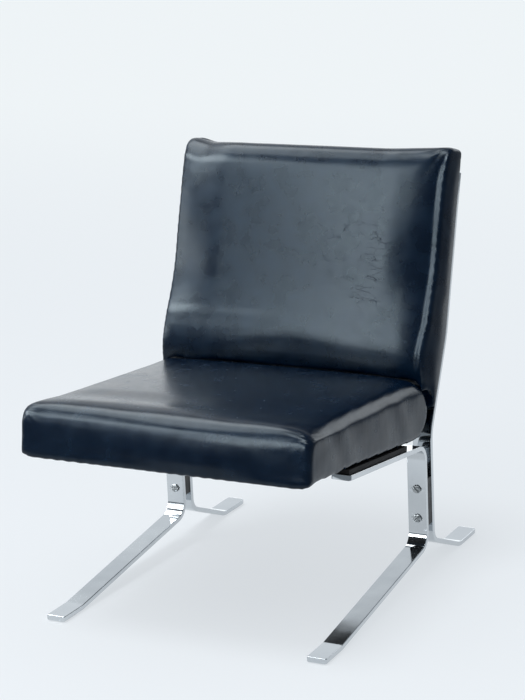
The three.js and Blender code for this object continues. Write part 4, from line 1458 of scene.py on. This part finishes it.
def back_form(name, inset, material):
    """The back's form, drawn in by the inset on every side but its rear."""
    low = back_low + inset
    high = back_high - inset
    rear = back_rear
    low_front = back_low_thickness - inset
    high_front = back_high_thickness - inset
    radii = (back_rear_radius - inset, back_front_radius - inset)
    loop = back_loop(low, high, rear, (low_front, high_front), radii, (4, 10, 6, 4), 7)
    half = back_half - inset
    side_round = back_side_round - inset

    def form(x, distance, place):
        share = np.clip((place[:, 0] - low) / (high - low), 0, 1)
        thickness = low_front + (high_front - low_front) * share - rear
        depth = np.clip((place[:, 1] - rear) / thickness, 0, 1)
        across_share = 1 - (x / half) ** 2
        crown = back_crown * across_share * depth * (1 - (2 * share - 1) ** 4)
        at_top = smooth((share - 0.88) / 0.12)
        at_bottom = 1 - smooth(share / 0.12)
        front_fall = round_fall(side_round, distance) * depth
        end_fall = round_fall(back_end_round, distance) * (at_top - at_bottom)
        places = back_place(0.0, place[:, 0] - end_fall, place[:, 1] - front_fall + crown)
        places[:, 0] = x
        return places

    return loft(name, half, side_round, loop, form, material)


def cut_away(piece, cutter):
    modifier = piece.modifiers.new("cut", "BOOLEAN")
    modifier.operation = "DIFFERENCE"
    modifier.solver = "EXACT"
    modifier.object = cutter
    keep_modifiers(piece)


def back_local(places):
    """Distances up the back line and in front of the bars, for room places."""
    y = places[:, 1] - foot_tip - lumbar_centre.x
    z = places[:, 2] - lumbar_centre.y
    left = left_of(lower_line)
    along_lower = y * lower_line.x + z * lower_line.y
    turned = np.arctan2(along_lower, -(y * left.x + z * left.y))
    bent = np.clip(turned, 0, lumbar_turn)
    hx, hz = turned_line(bent)
    up = lumbar_start + lumbar_arc * bent / lumbar_turn + y * hx + z * hz
    forward = lumbar_bend_radius - (y * hz - z * hx) - bar_thickness / 2
    return up, forward


def clear_of_seat(piece, gap):
    """Moves the points of a soft piece that lie in the seat, or closer than the gap, out of it."""
    bpy.context.view_layer.update()
    shape = bmesh.new()
    shape.from_mesh(seat.data)
    tree = BVHTree.FromBMesh(shape)
    shape.free()
    places = vertex_places(piece)
    low = places[:, 2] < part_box("seat_cover")[1][2] + near_seat
    for i in np.nonzero(low)[0]:
        spot = Vector(places[i])
        near, normal, _, _ = tree.find_nearest(spot, search_reach)
        if near is None:
            continue
        outside = (spot - near).dot(normal)
        if outside < gap:
            places[i] = near + normal * gap
    move_vertices(piece, places)


def along_curve(value, curve):
    """A smooth line through a few heights, each given for a value."""
    stops, heights = list(curve), list(curve.values())
    result = np.full_like(value, heights[0], dtype=float)
    for k in range(len(stops) - 1):
        result += (heights[k + 1] - heights[k]) * smooth((value - stops[k]) / (stops[k + 1] - stops[k]))
    return result


back_leather, place = new_finish("back_leather")
rubbed = place.noise(5.0, 3.0)
spot = place.split()
worn = spot.step(*worn_left) * spot.fall(*worn_right)
worn = worn * spot.out("Z").step(*worn_low) * spot.out("Z").fall(*worn_high)
worn = worn * rubbed.step(0.40, 0.62)
turned = place.mapped((1.0, 1.0, 2.4), (0.0, -0.35, 0.0))
wandered = {0: turned.noise(30.0, 3.0).out("Color"), 1: (0.02, 0.02, 0.02), 2: turned}
wandered = place.add("ShaderNodeVectorMath", wandered, operation="MULTIPLY_ADD")
cracks = voronoi_edges(wandered, 34.0).fall(0.0, 0.035)
cracks = cracks * worn * place.noise(38.0, 2.0).step(0.50, 0.62)
relief = pores(place, 620.0) * pore_depth + rubbed * back_rubbed_depth - cracks * crack_depth
polished_hide(place, (0.25, 0.33), (0.03, 0.10), relief)

back = back_form("back_cushion", swell_room, back_leather)
seat_room = seat_form("seat_room", -back_to_seat - swell_room, seat_leather)
cut_away(back, seat_room)
bpy.data.objects.remove(seat_room)
remesh(back, voxel)
up, forward = back_local(vertex_places(back))
held = (forward < back_rear + swell_room + held_depth) | (up < held_low)
swell(back, held, back_swell_share, np.full(len(up), back_fold_share))
subdivide(back)

places = vertex_places(back)
up, forward = back_local(places)
places += (blurred(back, places) - places) * smooth((forward - even_from) / even_over)[:, None]
up, forward = back_local(places)
x = places[:, 0]
from_side = back_half - np.abs(x)
thickness = back_low_thickness + (back_high_thickness - back_low_thickness) * np.clip(
    (up - back_low) / (back_high - back_low), 0, 1) - back_rear
depth = smooth((forward - back_rear) / thickness / 0.9)
# The edges are pulled in at mid-height and at both ends
pull = np.where(x > 0, along_curve(up, right_pull), along_curve(up, left_pull))
push = pull * (1 - smooth(from_side / pull_reach))
# The filling rounds out the bend of the board
tightness = 1 - (forward + bar_thickness / 2) / lumbar_bend_radius
bend = np.abs(up - (lumbar_start + lumbar_arc / 2))
bend = np.where(bend > lumbar_arc / 2, bend - (1 - tightness) * lumbar_arc / 2, bend * tightness)
bend_half = tightness * lumbar_arc / 2
reach = bend_reach + bend_reach_left * (1 - smooth((x + back_half) / 0.12))
push += lumbar_turn * np.clip(reach - bend, 0, None) ** 2 / (4 * reach)
push -= lumbar_turn * np.clip(bend_half - bend, 0, None) ** 2 / (4 * bend_half)
# The face rolls off towards its top, and more gently towards its sides, the left one above all
push -= top_roll * np.clip(1 - (back_high - up) / top_roll_reach, 0, 1) ** 2
side_roll = np.where(x < 0, side_roll_left, side_roll_right)
push -= side_roll * np.clip(1 - from_side / side_roll_reach, 0, 1) ** 1.5
# The upper left corner falls away, where the cover is drawn round it
from_corner = np.hypot(x + back_half + corner_side, back_high + corner_above - up)
near_corner = np.clip(1 - from_corner / corner_reach, 0, 1)
push -= corner_drop * near_corner ** 2
# A ridge runs down the right front edge, with a sharp channel beside it
edge = np.maximum(back_half - swell_room - x, 0)
channel = channel_setback - channel_narrowing * smooth((up - channel_narrow_from) / channel_narrow_over)
panel_fall = np.clip(1 - (edge - channel) / panel_fall_reach, 0, 1) ** 2
ridge_fall = (edge / channel + (edge / channel) ** 2) / 2
full = smooth((up - ridge_low) / ridge_low_fade) * (1 - smooth((up - ridge_high) / ridge_high_fade))
push -= ridge_height * np.where(edge > channel, panel_fall, ridge_fall) * full * (x > 0)
# The lower end turns under towards the seat
turn_start = turn_under_start + turn_under_middle * hump(x, 0.0, 0.16)
push -= turn_under_bend * np.clip(turn_start - up, 0, turn_under_reach) ** 2
# Broad, shallow unevenness from years of use
uneven = np.sin(x * 11 + 2.1) * np.sin(up * 13 + 0.4) * smooth(from_side / 0.1)
push += face_unevenness * uneven
shift = back_place(0.0, up, forward + push * depth) - back_place(0.0, up, forward)
# The right side stands out and leans in towards its front edge, most of all low down
front = back_low_thickness + (back_high_thickness - back_low_thickness) * up / back_high
share = np.clip((forward - back_rear) / (front - back_rear), 0, 1)
stand_out = side_out + side_belly * share * (1 - share)
stand_out -= along_curve(up, side_lean) * share ** 2
shift[:, 0] += np.where(x > 0, stand_out, 0.0) * (1 - smooth(from_side / side_out_reach))
# The left side bulges at its front, and most at its upper corner
bulge = left_bulge + left_belly * hump(up, 0.31, 0.15)
bulge += corner_bulge * near_corner
bulge += corner_tip_bulge * np.clip(1 - from_corner / corner_tip_reach, 0, 1)
shift[:, 0] -= np.where(x < 0, bulge, 0.0) * (1 - smooth(from_side / left_bulge_reach)) * depth
# The top corners stand up a little above the edge between them
right_rise = right_peak * (1 - smooth(from_side / right_peak_reach))
left_rise = left_peak * (1 - smooth(from_side / left_peak_reach))
rise = np.where(x > 0, right_rise, left_rise) * smooth((up - peak_from) / peak_over)
shift += back_place(0.0, up + rise, forward) - back_place(0.0, up, forward)
# Short creases fan out from the right corner, where the cover is folded together
corner_x = back_half - 0.012 - x
corner_up = back_high - 0.004 - up
radius = np.hypot(corner_x, corner_up)
fan = np.arctan2(corner_up, corner_x)
crease = fold_depth * np.sin(fan * 11.0) * np.exp(-radius / fold_reach) * smooth(radius / fold_start)
shift += back_place(0.0, up, forward + crease * depth) - back_place(0.0, up, forward)
move_vertices(back, places + blurred(back, shift))
clear_of_seat(back, back_to_seat)
dress(back, ["back_cover", "back_foam"])


# Rear panel
# A thin board covered with the same leather closes the back of the chair, between the cushion
# and the bars. The back's screws go through it.

panel_half = 0.287
panel_low = 0.070
panel_high = 0.561
panel_round = 0.0016
panel_corner = 0.010
panel_dome = 0.0006
dome_reach = 0.02

panel_leather, place = new_finish("panel_leather")
grain = place.add("ShaderNodeTexVoronoi", {"Vector": place, "Scale": 620.0})
mottle = place.noise(18.0, 5.0)
surface(place, {
    "Base Color": mottle.step(0.3, 0.75).tint((0.0016, 0.0045, 0.010, 1), (0.0035, 0.008, 0.015, 1)),
    "Roughness": mottle.step(0.25, 0.8, 0.34, 0.46),
    "Specular IOR Level": 0.32,
    "Specular Tint": (0.70, 0.86, 1.0, 1),
    "Normal": bump(place, grain + mottle * 0.6, 0.00014),
})


def panel_form(x, distance, place):
    """Rounds the panel's corners and edges and swells its rear face a little."""
    middle = (panel_low + panel_high) / 2
    height = (panel_high - panel_low) / 2
    share = np.clip((place[:, 0] - middle) / height, -1, 1)
    corner = round_fall(panel_corner, distance)
    up = place[:, 0] - corner * share ** 9
    domed = smooth(distance / dome_reach) * smooth((1 - np.abs(share)) * height / dome_reach)
    forward = place[:, 1]
    towards_middle = contact_gap + panel_thickness / 2 - forward
    rearmost = smooth(towards_middle / panel_thickness + 0.5)
    edge = round_fall(panel_round, distance) / panel_round * 0.9 * (distance < panel_round)
    forward = forward + towards_middle * edge + rearmost * (1 - domed) * panel_dome
    places = back_place(0.0, up, forward)
    places[:, 0] = x
    return places


panel_fronts = (contact_gap + panel_thickness, contact_gap + panel_thickness)
panel_radii = (panel_round, panel_round)
loop = back_loop(panel_low, panel_high, contact_gap, panel_fronts, panel_radii, (4, 4, 4, 4), 9)
panel = loft("rear_panel", panel_half, panel_round, loop, panel_form, panel_leather)
rods = drill_rods("panel_drills", back_holes(mount_line, 0.0) + back_holes(-mount_line, 0.0))
cut_away(panel, rods)
bpy.data.objects.remove(rods)
for face in panel.data.polygons:
    face.use_smooth = True
panel.data.set_sharp_from_angle(angle=math.radians(60))
dress(panel, ["back_rear_panel"])
